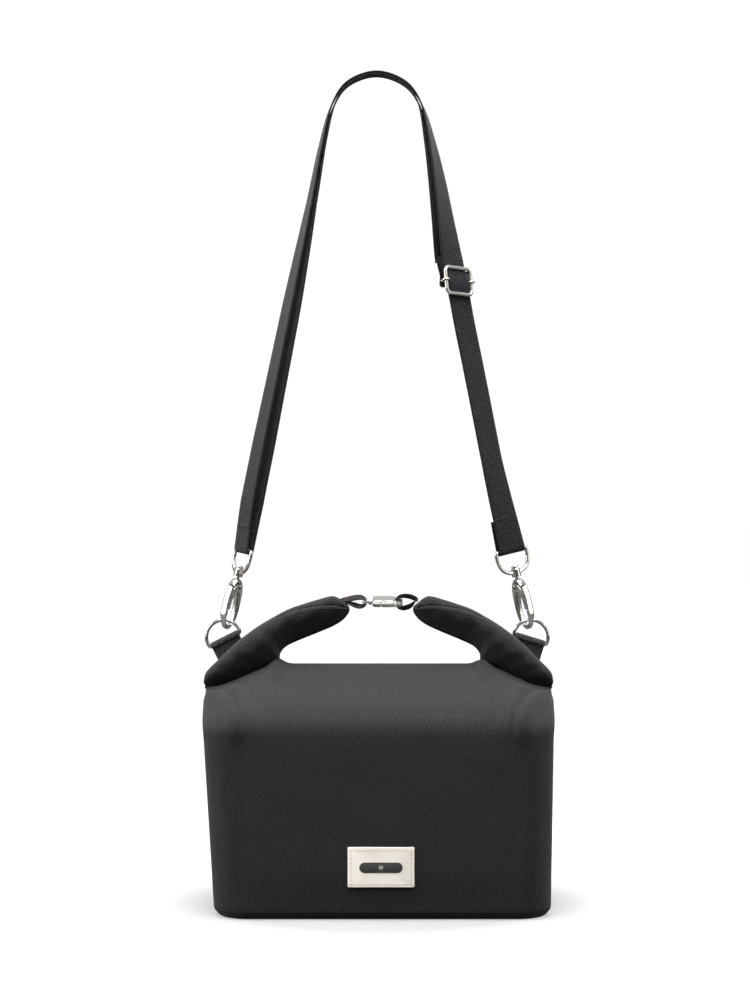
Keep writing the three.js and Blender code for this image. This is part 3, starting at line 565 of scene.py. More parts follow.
def fold_relief(x, z):
    """Soft fold that runs in from each top corner and down the corner crease, in mm."""
    fine = evenly(RIDGE, 90)
    dx = np.abs(x)[..., None] - fine[:, 0]
    dz = z[..., None] - fine[:, 1]
    near = np.argmin(dx ** 2 + dz ** 2, -1)
    along = tangents(fine)[near]
    off = np.take_along_axis(dx, near[..., None], -1)[..., 0] * along[..., 1]
    off -= np.take_along_axis(dz, near[..., None], -1)[..., 0] * along[..., 0]
    share = near / (len(fine) - 1)
    fade = (1 - smooth(share, 0.5, 0.95)) * (1 - 0.8 * smooth(np.abs(x), 133, 138))
    return fade * (4.6 * hump(off, -5, 8) + 0.8 * hump(off, 6, 5) - 3.4 * hump(off, 0.5, 2.2))


def body_shell():
    """Foot, walls, shoulder and tucked mouth as one cloth, with pillowing, creases and folds.

    The rows are pushed along their normals by a sum of smooth steps, humps and sine ripples.
    """
    fine_rows_from = 108
    crease_x = 105
    foot = np.radians(np.linspace(0, 90, 10))
    rows = np.concatenate([
        wall_ring(FOOT_RADIUS * (1 - np.cos(foot)), FOOT_RADIUS * (1 - np.sin(foot))),
        wall_ring(np.linspace(FOOT_RADIUS, fine_rows_from, 30)[1:], np.zeros(29)),
        wall_ring(np.linspace(fine_rows_from, BEND_HEIGHT, 20)[1:-1], np.zeros(18)),
        shoulder(np.linspace(0, 1, 80)),
        tuck(np.linspace(0, 1, 9)[1:]),
    ])
    x, y, z = np.moveaxis(rows, -1, 0)
    normal = unit(np.cross(np.gradient(rows, axis=1), np.gradient(rows, axis=0)))
    wall = smooth(z, 6, 40) * (1 - smooth(z, 125, 172))
    face = smooth(np.abs(y), 68, 76)
    middle = 1 - smooth(np.abs(x), 40, 104)
    lift = (0.5 + 1.1 * middle) * wall * face
    lift += 0.9 * wall * face * (1 - hump(np.abs(x), crease_x, 6)) - 0.3 * wall
    side = smooth(np.abs(x), 128, 134) * (1 - smooth(np.abs(y), 20, 55))
    lift += 0.8 * side * smooth(z, 20, 60) * (1 - smooth(z, 110, 150))
    lift += fold_relief(x, z) * smooth(-y, 8, 24)
    ripple = (np.sin(x / 21 + 1.3 * np.sin(z / 33)) * np.sin(z / 27 + y / 40 + 0.6)
              + 0.6 * np.sin(x / 11 + z / 19) * np.sin(z / 13 - x / 45))
    lift += 0.22 * ripple * smooth(z, 4, 20) * (1 - smooth(z, 176, 186))
    lift -= 0.5 * hump(z, 3.2, 1.2)
    beside_foam = (z > 6) & (z < 150)
    lift = np.where(beside_foam, np.maximum(lift, 0), lift)
    rows = rows + normal * lift[..., None]
    piece = surface("body_shell", rows, (False, True), sharp=80)
    wall_thickness = piece.modifiers.new("cloth_thickness", "SOLIDIFY")
    wall_thickness.thickness, wall_thickness.offset = FABRIC * MM, -1
    return settle(piece, "bag", POLYESTER, "outer_walls")


def bottom_panel():
    """Rounded-rectangle panel with a soft edge, crowned a little, standing on the ground."""
    levels = [(0.05, 60), (0.0, 20), (0.0, 8.6), (0.5, 8.35), (1.2, 8.6), (1.2, 60)]
    z, inset = np.array(levels).T
    rows = wall_ring(z, np.minimum(inset, 26))
    centre = rows.mean(1, keepdims=True)
    shrink = np.where(inset > 26, 0.03, 1.0)[:, None, None]
    rows = centre + (rows - centre) * shrink
    piece = surface("bottom_panel", rows, (False, True), True)
    return settle(piece, "bag", POLYESTER, "outer_base")


def rolled_neck():
    """Mouth rolled back on itself: a rounded bar whose outer layer ends in a step at the back."""
    a = circle(72)
    c, s = np.cos(a), np.sin(a)
    y = 4.5 + 6.8 * np.sign(c) * np.abs(c) ** 0.7
    z = 184.7 + 7.1 * np.sign(s) * np.abs(s) ** 0.7
    step = smooth(a, 0.35, 0.42) * (1 - smooth(a, 0.42, 2.2))
    along = np.linspace(-79.5, 79.5, 90)[:, None]
    bulge = 0.25 * np.sin(along / 17 + 0.7) + 0.2 * np.sin(along / 7.3)
    out = (0.9 * step)[None] + bulge * (c * c)[None]
    rise = gap_fillet(along) * (1 + s[None]) / 2
    points = np.stack(np.broadcast_arrays(
        along, y[None] + out * c[None], z[None] + out * s[None] * 0.5 + rise), -1)
    piece = surface("rolled_neck", points, (False, True), True)
    return settle(piece, "bag", POLYESTER, "neck_roll")


# ---- carry handle ----
ARM_STATIONS = np.array([  # upper x, z, lower x, z, half thickness
    (-139.9, 178.4, -138.8, 174.0, 3.4),
    (-138.6, 184.2, -132.0, 172.8, 6.2),
    (-134.5, 189.3, -123.5, 173.6, 8.2),
    (-128.0, 195.4, -113.5, 176.9, 9.6),
    (-121.0, 202.2, -104.5, 180.9, 10.4),
    (-113.5, 209.3, -95.0, 185.4, 10.8),
    (-104.0, 216.6, -85.6, 188.6, 10.8),
    (-94.5, 223.2, -79.4, 192.6, 10.4),
    (-84.0, 229.3, -78.6, 200.0, 9.8),
    (-72.0, 235.6, -73.5, 206.0, 9.2),
    (-60.0, 239.8, -62.0, 211.4, 9.0),
    (-48.5, 243.3, -48.5, 216.8, 8.6),
    (-37.8, 246.0, -36.0, 222.2, 7.8),
    (-32.2, 244.6, -28.6, 226.9, 6.4),
    (-26.6, 240.4, -24.2, 232.0, 4.6),
    (-23.6, 237.8, -23.0, 235.2, 2.4),
])
# stations of the arm, and the share of its depth at which the hem's edge runs there
HEM_STATIONS = [7, 8, 9, 10, 11, 12, 13, 14, 15]
HEM_SHARES = [0.02, 0.06, 0.10, 0.13, 0.20, 0.32, 0.41, 0.46, 0.50]


def arm_points(mirrored):
    """Padded crescent: rounded section between upper and lower edge, with hem step and folds."""
    s = np.linspace(0, len(ARM_STATIONS) - 1, 150)
    ux, uz, lx, lz, w = spline(ARM_STATIONS, s).T[:, :, None]
    a = circle(96)[None]
    c, sn = np.cos(a), np.sin(a)
    up = np.sign(c) * np.abs(c) ** 0.9
    out = np.sign(sn) * np.abs(sn) ** 0.85
    down = (1 - up) / 2
    front = smooth(sn, 0.02, 0.25)
    crown = np.sin(np.pi * down ** 0.55) ** lerp(0.75, 1.05, smooth(down, 0.2, 0.55))
    out = np.where(sn > 0, crown * 1.25, out * 0.72)
    s = s[:, None]
    hem = np.interp(s, HEM_STATIONS, HEM_SHARES)
    shown = smooth(s, 6.6, 8.4)
    step = smooth(down, hem - 0.012, hem + 0.012)
    recess = 2.4 * shown * (1 - step) + 1.0 * shown * hump(down, hem - 0.014, 0.014)
    inner = 1.6 * smooth(s, 8.4, 9.4) * (1 - smooth(s, 13, 14)) * smooth(down, 0.86, 0.89)
    wrinkle = (0.35 * np.sin(s * 2.1 + down * 5) * np.sin(down * 9 + s * 0.7)
               + 0.25 * np.sin(s * 4.3 - down * 7 + 1))
    wrinkle = wrinkle * smooth(s, 0.8, 2.5) * (1 - smooth(s, 13, 14.6))
    push = w * out - np.sign(sn) * front * (recess + inner) + wrinkle * out
    y = 1.5 - push
    x = lerp(ux, lx, down)
    z = lerp(uz, lz, down)
    if mirrored:
        x = ARM_REACH - (ARM_REACH + x) * RIGHT_ARM_STRETCH
    return np.stack([x, y, z], -1)


def arm_pad(side):
    """Padded end of the mouth on one side; gives back its points for the stitches."""
    points = arm_points(side == "right")
    piece = surface(f"{side}_arm_pad", points, (False, True), True, sharp=80)
    settle(piece, "handle", POLYESTER, f"{side}_arm")
    return points


def arm_stitches(side, points):
    """Row of stitches just under the hem's edge, on the front of the arm."""
    s = np.linspace(0, len(ARM_STATIONS) - 1, points.shape[0])
    hem = np.interp(s, HEM_STATIONS, HEM_SHARES) + 0.07
    c = np.cos(circle(points.shape[1])[:points.shape[1] // 2])
    down = (1 - np.sign(c) * np.abs(c) ** 0.9) / 2
    place = np.interp(hem, down, np.arange(len(down)))
    row = np.arange(len(s))
    low = np.floor(place).astype(int)
    line = lerp(points[row, low], points[row, low + 1], (place - low)[:, None])
    across = points[row, low + 1] - points[row, low]
    sewn = (s > 8.3) & (s < 13.6)
    across = across[sewn]
    count = 30
    even = evenly(line[sewn], count)
    direction = tangents(even)
    here, there = np.linspace(0, 1, count), np.linspace(0, 1, len(across))
    lie = np.stack([np.interp(here, there, across[:, k]) for k in range(3)], 1)
    normal = unit(np.cross(direction, lie))
    normal *= -np.sign(normal[:, 1:2])
    piece = stitches(f"{side}_arm_stitches", even + normal * 0.1, direction, normal, 1.9, 0.22)
    settle(piece, "handle", BLACK_THREAD, slot="arm_fabric")


# x, z and twist in degrees along each loop
LEFT_LOOP = [(-30, 242.0, 30), (-24.5, 243.4, 38), (-20.5, 244.4, 40), (-15, 245.1, 35),
             (-11.2, 243.9, 20), (-10.2, 241.4, 5), (-11.2, 238.9, -15), (-14.6, 237.8, -30),
             (-18.4, 238.7, -35), (-23, 240.2, -20), (-28, 240.4, 5)]
RIGHT_LOOP = [(30, 243.4, 30), (25.5, 245.6, 35), (20.2, 246.2, 30), (16, 245.2, 15),
              (15, 243, 0), (15, 239.6, 0), (16.4, 237, -20), (20.3, 236.5, -35),
              (25, 238, -35), (28.4, 241, -10)]


def tape_loop(side, route):
    """Narrow tape round the clip: thin section carried round a closed, twisting route."""
    x, z, twist = evenly(np.array(route, float), 90, closed=True).T
    path = np.stack([x, np.full_like(x, 2.5), z], 1)
    along = tangents(path, True)
    through = np.cross(along, -FRONTWARD)
    angle = np.radians(twist)[:, None]
    across = -FRONTWARD * np.cos(angle) + through * np.sin(angle)
    through = np.cross(across, along)
    w, t = ribbon_section(1.3, 6.2).T
    points = (path[:, None] + w[None, :, None] * across[:, None]
              + t[None, :, None] * through[:, None])
    piece = surface(f"{side}_tape_loop", points, (True, True), sharp=60)
    return settle(piece, "handle", LOOP_CLOTH, f"{side}_loop")


# ---- tabs, rings and hooks ----
def placed(points, centre, tilt, yaw=0.0):
    """Local points turned about Z, tilted about Y and carried to their centre."""
    shape = points.shape
    flat = turn(turn(points.reshape(-1, 3), "Z", yaw), "Y", tilt)
    return (flat + np.array(centre)).reshape(shape)


def leaned(vectors, lean):
    """Directions tilted about Y by lean degrees."""
    return placed(vectors, (0, 0, 0), lean)


def nickel_part(name, points, body, *replaced, wrap=(False, True), sharp=40):
    """Polished piece: closed both ways, or with capped ends."""
    piece = surface(name, points, wrap, not wrap[0], sharp=sharp)
    settle(piece, body, BRIGHT_NICKEL, *replaced, slot=None if replaced else "bright_nickel")


def tab_and_ring(side, x, z, lean, length):
    """Webbing hairpin round the straight side of a D-ring of round wire."""
    centre = (x, HARDWARE_Y, z)
    turn_radius, leg_y, bow_radius, foot_x = 2.45, 0.78, 13.9, 12.3
    arc = np.radians(np.linspace(-55, 235, 25))
    bend = turn_radius * np.stack([np.cos(arc), np.sin(arc)], 1)
    rise = np.linspace(-length, -6, 16)
    leg = np.stack([np.full_like(rise, leg_y), rise], 1)
    back = leg[::-1] * [-1, 1]
    y, h = evenly(np.concatenate([leg, bend, back]), 110).T
    line = np.stack([np.zeros_like(y), y, h], 1)
    along = tangents(line)
    across = np.broadcast_to(ACROSS, line.shape)
    through = np.cross(along, across)
    piece = ribbon(f"{side}_webbing_tab", placed(line, centre, lean),
                   leaned(across, lean), leaned(through, lean), width=24.4)
    settle(piece, "bag", TAB_CLOTH, f"{side}_tab")
    bow = np.radians(np.linspace(180, 0, 9))
    outline = [(bow_radius * math.cos(b), 2.5 + bow_radius * math.sin(b)) for b in bow]
    outline += [(f * foot_x, 0) for f in (1, 0.5, 0, -0.5, -1)]
    path = evenly(np.array([(px, 0, pz) for px, pz in outline]), 120, closed=True)
    ring, wrap = tube(path, RING_WIRE, True)
    nickel_part(f"{side}_d_ring_wire", placed(ring, centre, lean), f"{side}_ring",
                f"{side}_ring", wrap=wrap, sharp=50)
    stitch_row(f"{side}_tab_stitches", placed(np.array([0, -1.55, -7]), centre, lean),
               leaned(ACROSS, lean), leaned(FRONTWARD, lean), 0.22, "bag")


def lathe(profile):
    """Points of (radius, height) turned round the Z axis."""
    r, h = np.array(profile, float).T
    a = circle(32)[None]
    return np.stack(np.broadcast_arrays(
        r[:, None] * np.cos(a), r[:, None] * np.sin(a), h[:, None]), -1)


HOOK_LOOP = np.array([  # outer x, z, inner x, z, half thickness outside and inside
    (-8.4, 8.4, -5.6, 8.4, 3.1, 2.7), (-8.2, 4.2, -5.6, 4.2, 2.9, 2.5),
    (-6.9, 0.0, -5.2, 0.0, 2.3, 1.9), (-3.6, -5.2, -2.9, -2.6, 1.95, 1.7),
    (0.0, -7.0, 0.0, -3.4, 1.9, 1.6), (3.6, -5.2, 2.9, -2.6, 1.95, 1.7),
    (6.9, 0.0, 5.2, 0.0, 2.3, 1.9), (8.0, 4.6, 5.5, 5.0, 2.7, 2.1),
    (8.4, 10.0, 5.0, 11.0, 2.9, 2.1), (8.3, 16.0, 4.0, 17.5, 3.0, 2.1),
    (8.0, 22.0, 2.6, 23.0, 3.1, 2.1), (7.2, 26.8, 0.6, 24.4, 3.1, 2.1),
    (5.4, 31.0, -0.6, 25.0, 3.1, 2.1), (2.2, 34.3, -1.4, 25.4, 3.0, 2.1),
    (-2.2, 34.3, -2.2, 25.8, 3.0, 2.1), (-5.2, 31.5, -3.0, 26.3, 3.0, 2.1),
    (-6.6, 29.0, -3.8, 27.0, 3.0, 2.1),
])
# the gate's bar and the thin plate on each of its sides, in the same columns
GATE_BAR = np.array([
    (-8.4, 8.8, -5.5, 8.8, 3.1, 3.0), (-8.5, 13.0, -5.4, 13.0, 3.1, 3.0),
    (-8.3, 18.0, -5.2, 18.0, 3.1, 3.0), (-7.8, 22.5, -5.1, 22.0, 3.1, 3.0),
    (-6.9, 27.6, -5.0, 26.2, 3.1, 3.0),
])
GATE_PLATE = np.array([
    (-7.5, 9.6, -4.9, 9.6, 0.4, 0.4), (-7.6, 14.0, -4.7, 14.0, 0.4, 0.4),
    (-7.2, 19.0, -3.7, 18.6, 0.4, 0.4), (-6.0, 24.0, -2.0, 21.8, 0.4, 0.4),
    (-4.0, 28.0, 0.6, 24.0, 0.4, 0.4), (-1.0, 30.4, 3.4, 25.2, 0.4, 0.4),
    (2.2, 31.2, 5.2, 26.8, 0.4, 0.4), (4.4, 30.4, 5.5, 28.4, 0.4, 0.4),
])
SECTION = np.array([  # share of the depth, share of the half thickness, one half of the outline
    (0.0, 0.0), (0.0, 0.5), (0.03, 0.8), (0.1, 0.96), (0.18, 1.0), (0.3, 1.0), (0.42, 1.0),
    (0.6, 1.0), (0.84, 1.0), (0.95, 0.87), (1.0, 0.55), (1.0, 0.0),
])


def cast_part(stations, count, offset=0.0):
    """Rounded bar between an outer and an inner edge, its sides stepped in towards the inner."""
    places = np.linspace(0, len(stations) - 1, count)
    ox, oz, ix, iz, outside, inside = spline(stations, places).T[:, :, None]
    whole = np.concatenate([SECTION, SECTION[-2:0:-1] * [1, -1]])
    depth, half = whole.T[:, None]
    thick = lerp(outside, inside, smooth(depth, 0.3, 0.42))
    return np.stack(np.broadcast_arrays(
        lerp(ox, ix, depth), offset + half * thick, lerp(oz, iz, depth)), -1)


def hook(side, contact_x, tilt, yaw, eye_yaw):
    """Swivel eye of round wire with its barrel, and the snap hook under it."""
    centre = (contact_x, HARDWARE_Y, HANG_Z)
    half, top = 14.8, HOOK_LENGTH
    outline = [(-half + 1.4, top), (-6, top), (0, top), (6, top), (half - 1.4, top),
               (half, 56.4), (half, 50.4), (12.4, 44.2), (7, 40.5), (0, 39.4), (-7, 40.5),
               (-12.4, 44.2), (-half, 50.4), (-half, 56.4)]
    path = evenly(np.array([(px, 0, pz) for px, pz in outline]), 150, closed=True)
    ring, wrap = tube(path, EYE_WIRE, True)
    nickel_part(f"{side}_eye_wire", placed(ring, centre, tilt, eye_yaw), "strap",
                f"{side}_hook_eye", wrap=wrap, sharp=50)
    barrel = lathe([(2.05, 36.2), (3.5, 36.2), (3.8, 36.5), (3.8, 42.3), (3.5, 42.6),
                    (2.05, 42.6)])
    nickel_part(f"{side}_eye_barrel", placed(barrel, centre, tilt, eye_yaw), "strap",
                wrap=(True, True), sharp=30)
    loop = placed(cast_part(HOOK_LOOP, 170), centre, tilt, yaw)
    hook_body, gate = f"{side}_hook_body", f"{side}_hook_gate"
    nickel_part(f"{side}_hook_casting", loop, BODY_OF[hook_body], hook_body)
    post = lathe([(0.1, 33.4), (1.65, 33.4), (1.65, 42.9), (2.8, 42.9), (2.8, 44.6), (2.4, 45),
                  (0.1, 45)])
    nickel_part(f"{side}_hook_pin", placed(post, centre, tilt, yaw), BODY_OF[hook_body],
                sharp=30)
    bar = placed(cast_part(GATE_BAR, 40), centre, tilt, yaw)
    nickel_part(f"{side}_gate_face", bar, BODY_OF[gate], gate)
    for place, offset in (("front", -2.9), ("rear", 2.9)):
        plate = placed(cast_part(GATE_PLATE, 60, offset), centre, tilt, yaw)
        nickel_part(f"{side}_gate_{place}_plate", plate, BODY_OF[gate])
    refined(f"{side}_hook_rivet", BRIGHT_NICKEL, 0.25)
    refined(f"{side}_hook_spring", SPRING_STEEL, 0.2)


# ---- shoulder strap ----
EYE_LAYER = EYE_WIRE + SLACK + WEBBING / 2
BAR_RUN = HOOK_LENGTH * math.sin(math.radians(HOOK_TILT))
BAR_Z = HANG_Z + HOOK_LENGTH * math.cos(math.radians(HOOK_TILT))
STRAP_ROUTE = np.array([  # x, z, twist off edge-on in degrees, layer spacing
    (RIGHT_CONTACT_X - BAR_RUN, BAR_Z, 58, 2 * EYE_LAYER),
    (97.5, 323, 50, 2.2), (89.9, 357, 44, 2.2), (77.4, 420, 44, 2.4), (68.3, 460, 44, 5),
    (63.3, 482, 44, 7.4), (56.9, 515, 44, 7.4), (52.1, 547, 33, 5.6), (47.4, 579, 24, 4.6),
    (41.6, 611, 14, 3.6), (34, 641, 5, 2.1), (21, 658.6, 4, 1.8), (-1.6, 666.2, 4, 1.8),
    (-24.2, 658.6, 4, 1.8), (-36.6, 641, 4.5, 2), (-44.7, 611, 8, 2.4), (-53.7, 563, 12, 3.6),
    (-69.2, 483, 20, 7.2), (-91.8, 371, 25, 9), (-101.8, 321, 27, 8.6),
    (LEFT_CONTACT_X + BAR_RUN, BAR_Z, 28, 2 * EYE_LAYER),
])
RETURN_END_ROW = 6
SLIDER_TURN, SLIDER_Z = 9, 498.2


def strap_frame(s):
    """Both layers' centres with travel, outward normal and width, at places s along the route."""
    x, z = spline(STRAP_ROUTE[:, :2], s).T
    look = np.where(s > len(STRAP_ROUTE) - 2, -1, 1)
    x2, z2 = spline(STRAP_ROUTE[:, :2], s + 0.002 * look).T
    travel = unit(np.stack([x2 - x, 0 * x, z2 - z], 1) * look[:, None])
    twist = np.radians(np.interp(s, np.arange(len(STRAP_ROUTE)), STRAP_ROUTE[:, 2]))[:, None]
    space = np.interp(s, np.arange(len(STRAP_ROUTE)), STRAP_ROUTE[:, 3])[:, None] / 2
    normal = np.stack([travel[:, 2], 0 * x, -travel[:, 0]], 1) * np.cos(twist)
    normal = normal + FRONTWARD * np.sin(twist)
    width = np.cross(travel, normal)
    core = np.stack([x, np.full_like(x, HARDWARE_Y), z], 1)
    return core, core + normal * space, core - normal * space, travel, normal, width


def fold(s, from_inner):
    """Half turn of webbing round a bar at place s: a half circle of radius EYE_LAYER."""
    core, _, _, travel, normal, width = strap_frame(np.array([float(s)]))
    down = travel if s > 1 else -travel
    angle = np.pi * np.arange(1, 12)[:, None] / 12
    angle = np.pi + angle if from_inner else -angle
    out = normal * np.cos(angle) + down * np.abs(np.sin(angle))
    return core + out * EYE_LAYER, np.repeat(width, 11, 0), out


def shoulder_webbing():
    """One webbing: sewn tail, fold round the right eye, over the arch, fold, and back inside."""
    last = len(STRAP_ROUTE) - 1
    tail = strap_frame(np.linspace(0.6, 0, 12))
    whole = strap_frame(np.linspace(0, last, 420))
    back = strap_frame(np.linspace(last, RETURN_END_ROW, 300))
    parts = [
        (tail[2], tail[5], -tail[4]), fold(0, True), (whole[1], whole[5], whole[4]),
        fold(last, False), (back[2], back[5], -back[4]),
    ]
    centre, across, through = (np.concatenate(column) for column in zip(*parts))
    piece = ribbon("shoulder_webbing", centre, across, through)
    settle(piece, "strap", WEBBING_CLOTH, "shoulder_strap")
    for side, s in (("right", 0.62), ("left", last - 0.5)):
        _, outer, _, _, normal, width = (a[0] for a in strap_frame(np.array([s])))
        stitch_row(f"{side}_strap_stitches", outer + normal * (WEBBING / 2 + 0.12), width,
                   normal, 0.25, "strap")


def slider_place():
    """Origin on the outer layer, and directions across, behind and along it, at the slider."""
    s = np.linspace(4, 8, 4001)
    z = spline(STRAP_ROUTE[:, :2], s)[:, 1]
    place = s[np.searchsorted(z, SLIDER_Z)]
    _, outer, _, travel, normal, width = (a[0] for a in strap_frame(np.array([place])))
    return outer, np.array([width, -normal, travel])


SLIDER_ORIGIN, SLIDER_BASIS = slider_place()
FRAME_Y = -(WEBBING / 2 + SLACK + SLIDER_WIRE)
BAR_Y = WEBBING / 2 + 0.9 + WEBBING + SLACK + BAR_RADIUS


def on_slider(points, straight=0.0):
    """Local (across, behind, along) points put in place, levelled where straight is 0."""
    angle = math.radians(SLIDER_TURN) * (1 - straight)
    x, y, z = points.T
    turned = [x * np.cos(angle) + z * np.sin(angle), y, z * np.cos(angle) - x * np.sin(angle)]
    return SLIDER_ORIGIN + np.stack(turned, 1) @ SLIDER_BASIS


def slider_wire(name, path, radius, closed):
    """Satin wire of the adjuster, on the body of the frame node it stands for."""
    ring, wrap = tube(path, radius, closed)
    points = on_slider(ring.reshape(-1, 3)).reshape(ring.shape)
    piece = surface(f"{name}_wire", points, wrap, not closed)
    settle(piece, BODY_OF[name], SATIN_NICKEL, name)


def slider_frame():
    """Rounded rectangle of wire in front of the webbing."""
    half_x, half_z, corner_radius = 14.6, 10.6, 4
    corner = np.radians(np.linspace(0, 90, 7))
    cos, sin = corner_radius * np.cos(corner), corner_radius * np.sin(corner)
    arcs = [(sx * (half_x - corner_radius) + a * px - b * py,
             sz * (half_z - corner_radius) + b * px + a * py)
            for sx, sz, a, b in ((1, 1, 1, 0), (-1, 1, 0, 1), (-1, -1, -1, 0), (1, -1, 0, -1))
            for px, py in zip(cos, sin)]
    path = evenly(np.array([(px, FRAME_Y, pz) for px, pz in arcs]), 120, closed=True)
    slider_wire("slider_frame", path, SLIDER_WIRE, True)


def slider_bar():
    """Rod behind the webbing whose thinner ends are bent round the frame's sides."""
    half_bar = np.array([(0, BAR_Y), (5, BAR_Y), (10, BAR_Y), (13.2, 4.1), (14.5, 2.4),
                         (14.6, 0.1), (16.4, -0.7), (17.1, -2.5), (16.4, -4.3), (14.6, -5.0),
                         (12.9, -4.3), (12.2, -2.9)])
    x, y = np.concatenate([half_bar[:0:-1] * [-1, 1], half_bar]).T
    bend = evenly(np.stack([x, y, 0 * x], 1), 200)
    thick = lerp(BAR_RADIUS, 0.85, smooth(np.abs(np.linspace(-1, 1, 200)), 0.3, 0.45))
    slider_wire("slider_bar", bend, thick, False)


def slider_webbing():
    """Webbing humped over the frame's middle, and the strap's sewn end folded round the bar."""
    run = np.linspace(-8.6, 8.6, 40)
    over = np.stack([0 * run, -1.35 - 1.5 * np.cos(run * np.pi / 17.6) ** 0.8, run], 1)
    level = on_slider(np.eye(3)) - on_slider(np.zeros((3, 3)))
    lie = np.broadcast_to(ACROSS, over.shape)
    piece = ribbon("slider_webbing_turn", on_slider(over), lie @ level,
                   np.cross(tangents(over), lie) @ level, 1.0, 25.8)
    settle(piece, "slider", WEBBING_CLOTH, slot="webbing")
    radius = BAR_RADIUS + SLACK + WEBBING / 2
    arc = np.radians(np.linspace(180, 372, 20))
    bend = np.stack([radius * np.cos(arc), radius * np.sin(arc)], 1)
    up = np.linspace(22, 0.5, 14)
    left = np.stack([np.full_like(up, -radius), up], 1)
    right = np.array([(1.6, 4.0), (0.9, 7.0), (0.75, 12.0), (0.75, 21.5)])
    y, h = evenly(np.concatenate([left, bend, right]), 90).T
    line = np.stack([np.zeros_like(y), BAR_Y + y, h], 1)
    across = np.broadcast_to(ACROSS, line.shape)
    through = np.cross(tangents(line), across)
    piece = ribbon("strap_end_webbing", on_slider(line, smooth(h, 2, 14)),
                   across @ SLIDER_BASIS, through @ SLIDER_BASIS)
    settle(piece, "slider_bar", WEBBING_CLOTH, "strap_end_loop")


# ---- clip plate and label ----
def clip_plate():
    """Plain cover plate between the clip's bars, rounded at its corners and along its rim."""
    levels = plate_levels(8.9, 5.0, 2.6, 0.8, 0.3)
    levels = turn(levels.reshape(-1, 3) + [4.2, -1.45, 1.9], "X", CLIP_TILT - 90)
    plate = (levels + [0, 2.5, CLIP_Z]).reshape(5, 64, 3)
    nickel_part("clip_cover_plate", plate, BODY_OF["clip_body"], sharp=35)


def rounded_plate(name, half_x, half_z, radius, centre, thickness, edge=0.25):
    """Flat plate facing the front, with a rounded outline; centre is that of its back."""
    rows = plate_levels(half_x, half_z, radius, thickness, edge)
    return surface(name, rows + np.array(centre), (False, True), True, sharp=35)


def plate_levels(half_x, half_z, radius, thickness, edge):
    """Outlines of a rounded plate from its back at y = 0 to its face at y = -thickness."""
    c, s = np.cos(circle(64)), np.sin(circle(64))
    ox = np.sign(c) * (half_x - radius) * (np.abs(c) > 1e-9) + radius * c
    oz = np.sign(s) * (half_z - radius) * (np.abs(s) > 1e-9) + radius * s
    levels = [(0, 0.02), (0, 1), (-thickness + edge, 1), (-thickness, 1 - edge / half_z),
              (-thickness, 0.02)]
    rows = [np.stack([ox * k, np.full_like(ox, y), oz * k], 1) for y, k in levels]
    return np.array(rows)


def label():
    """Cream patch with a line of beige stitches, and a plain dark badge with a snowflake."""
    x, z = 1.8, 41.5
    patch = rounded_plate("cream_patch", 25.6, 15.4, 0.8, (x, LABEL_Y, z), 0.9)
    settle(patch, "bag", PATCH, "label_patch")
    badge = rounded_plate("dark_badge", 16.6, 4.0, 3.98, (x, LABEL_Y - 0.85, z - 0.3), 0.3, 0.1)
    settle(badge, "bag", INK, "label_badge")
    inset_x, inset_z = 23.2, 13.0
    wide = np.linspace(-inset_x, inset_x, 15)
    tall = np.linspace(-inset_z, inset_z, 9)[1:-1]
    spots = [(wx, wz, 1, 0) for wz in (-inset_z, inset_z) for wx in wide]
    spots += [(wx, wz, 0, 1) for wx in (-inset_x, inset_x) for wz in tall]
    px, pz, dx, dz = np.array(spots).T
    places = np.stack([x + px, np.full_like(px, LABEL_Y - 0.9), z + pz], 1)
    lie = np.stack([dx, 0 * dx, dz], 1)
    threads = stitches("label_stitches", places, lie, FRONTWARD + 0 * lie, 2.2, 0.3)
    settle(threads, "bag", BEIGE_THREAD, slot="patch")
    arms = np.radians([0, 60, 120])
    lie = np.stack([np.cos(arms), 0 * arms, np.sin(arms)], 1)
    centre = np.tile([x, LABEL_Y - 1.2, z - 0.3], (3, 1))
    flake = stitches("snowflake_mark", centre, lie, FRONTWARD + 0 * lie, 5.0, 0.22)
    settle(flake, "bag", PALE_INK, slot="patch")


body_shell()
bottom_panel()
rolled_neck()
for arm_side in ("left", "right"):
    arm_stitches(arm_side, arm_pad(arm_side))
tape_loop("left", LEFT_LOOP)
tape_loop("right", RIGHT_LOOP)
for clip_node in ("clip_eye", "clip_body", "clip_gate", "clip_rivet"):
    refined(clip_node, SATIN_NICKEL, 0.5 if clip_node == "clip_body" else 0.3)
clip_plate()
tab_and_ring("left", -123.5, 210.2, -26.6, 46)
tab_and_ring("right", 122, 210.1, 17, 44)
hook("left", LEFT_CONTACT_X, HOOK_TILT, 58, -62)
hook("right", RIGHT_CONTACT_X, -HOOK_TILT, 122, 32)
shoulder_webbing()
slider_frame()
slider_bar()
slider_webbing()
label()

for finish, nodes in (
    (BOARD, ("base_board", "mouth_stiffener")),
    (FOAM, ("foam_base", "foam_front", "foam_back", "foam_left", "foam_right")),
    (LINING, ("lining_tub", "lining_collar")),
):
    for node in nodes:
        for material_slot in NODES[node].material_slots:
            material_slot.material = finish


# ---- studio ----
def soft_light(name, place, target, size, watts):
    """Rectangular soft box at a place in metres, facing its target."""
    data = bpy.data.lights.new(name, "AREA")
    data.shape, data.size, data.size_y = "RECTANGLE", *size
    data.energy = watts
    lamp = bpy.data.objects.new(name, data)
    lamp.location = place
    lamp.rotation_euler = (Vector(target) - Vector(place)).to_track_quat("-Z", "Y").to_euler()
    link(lamp)


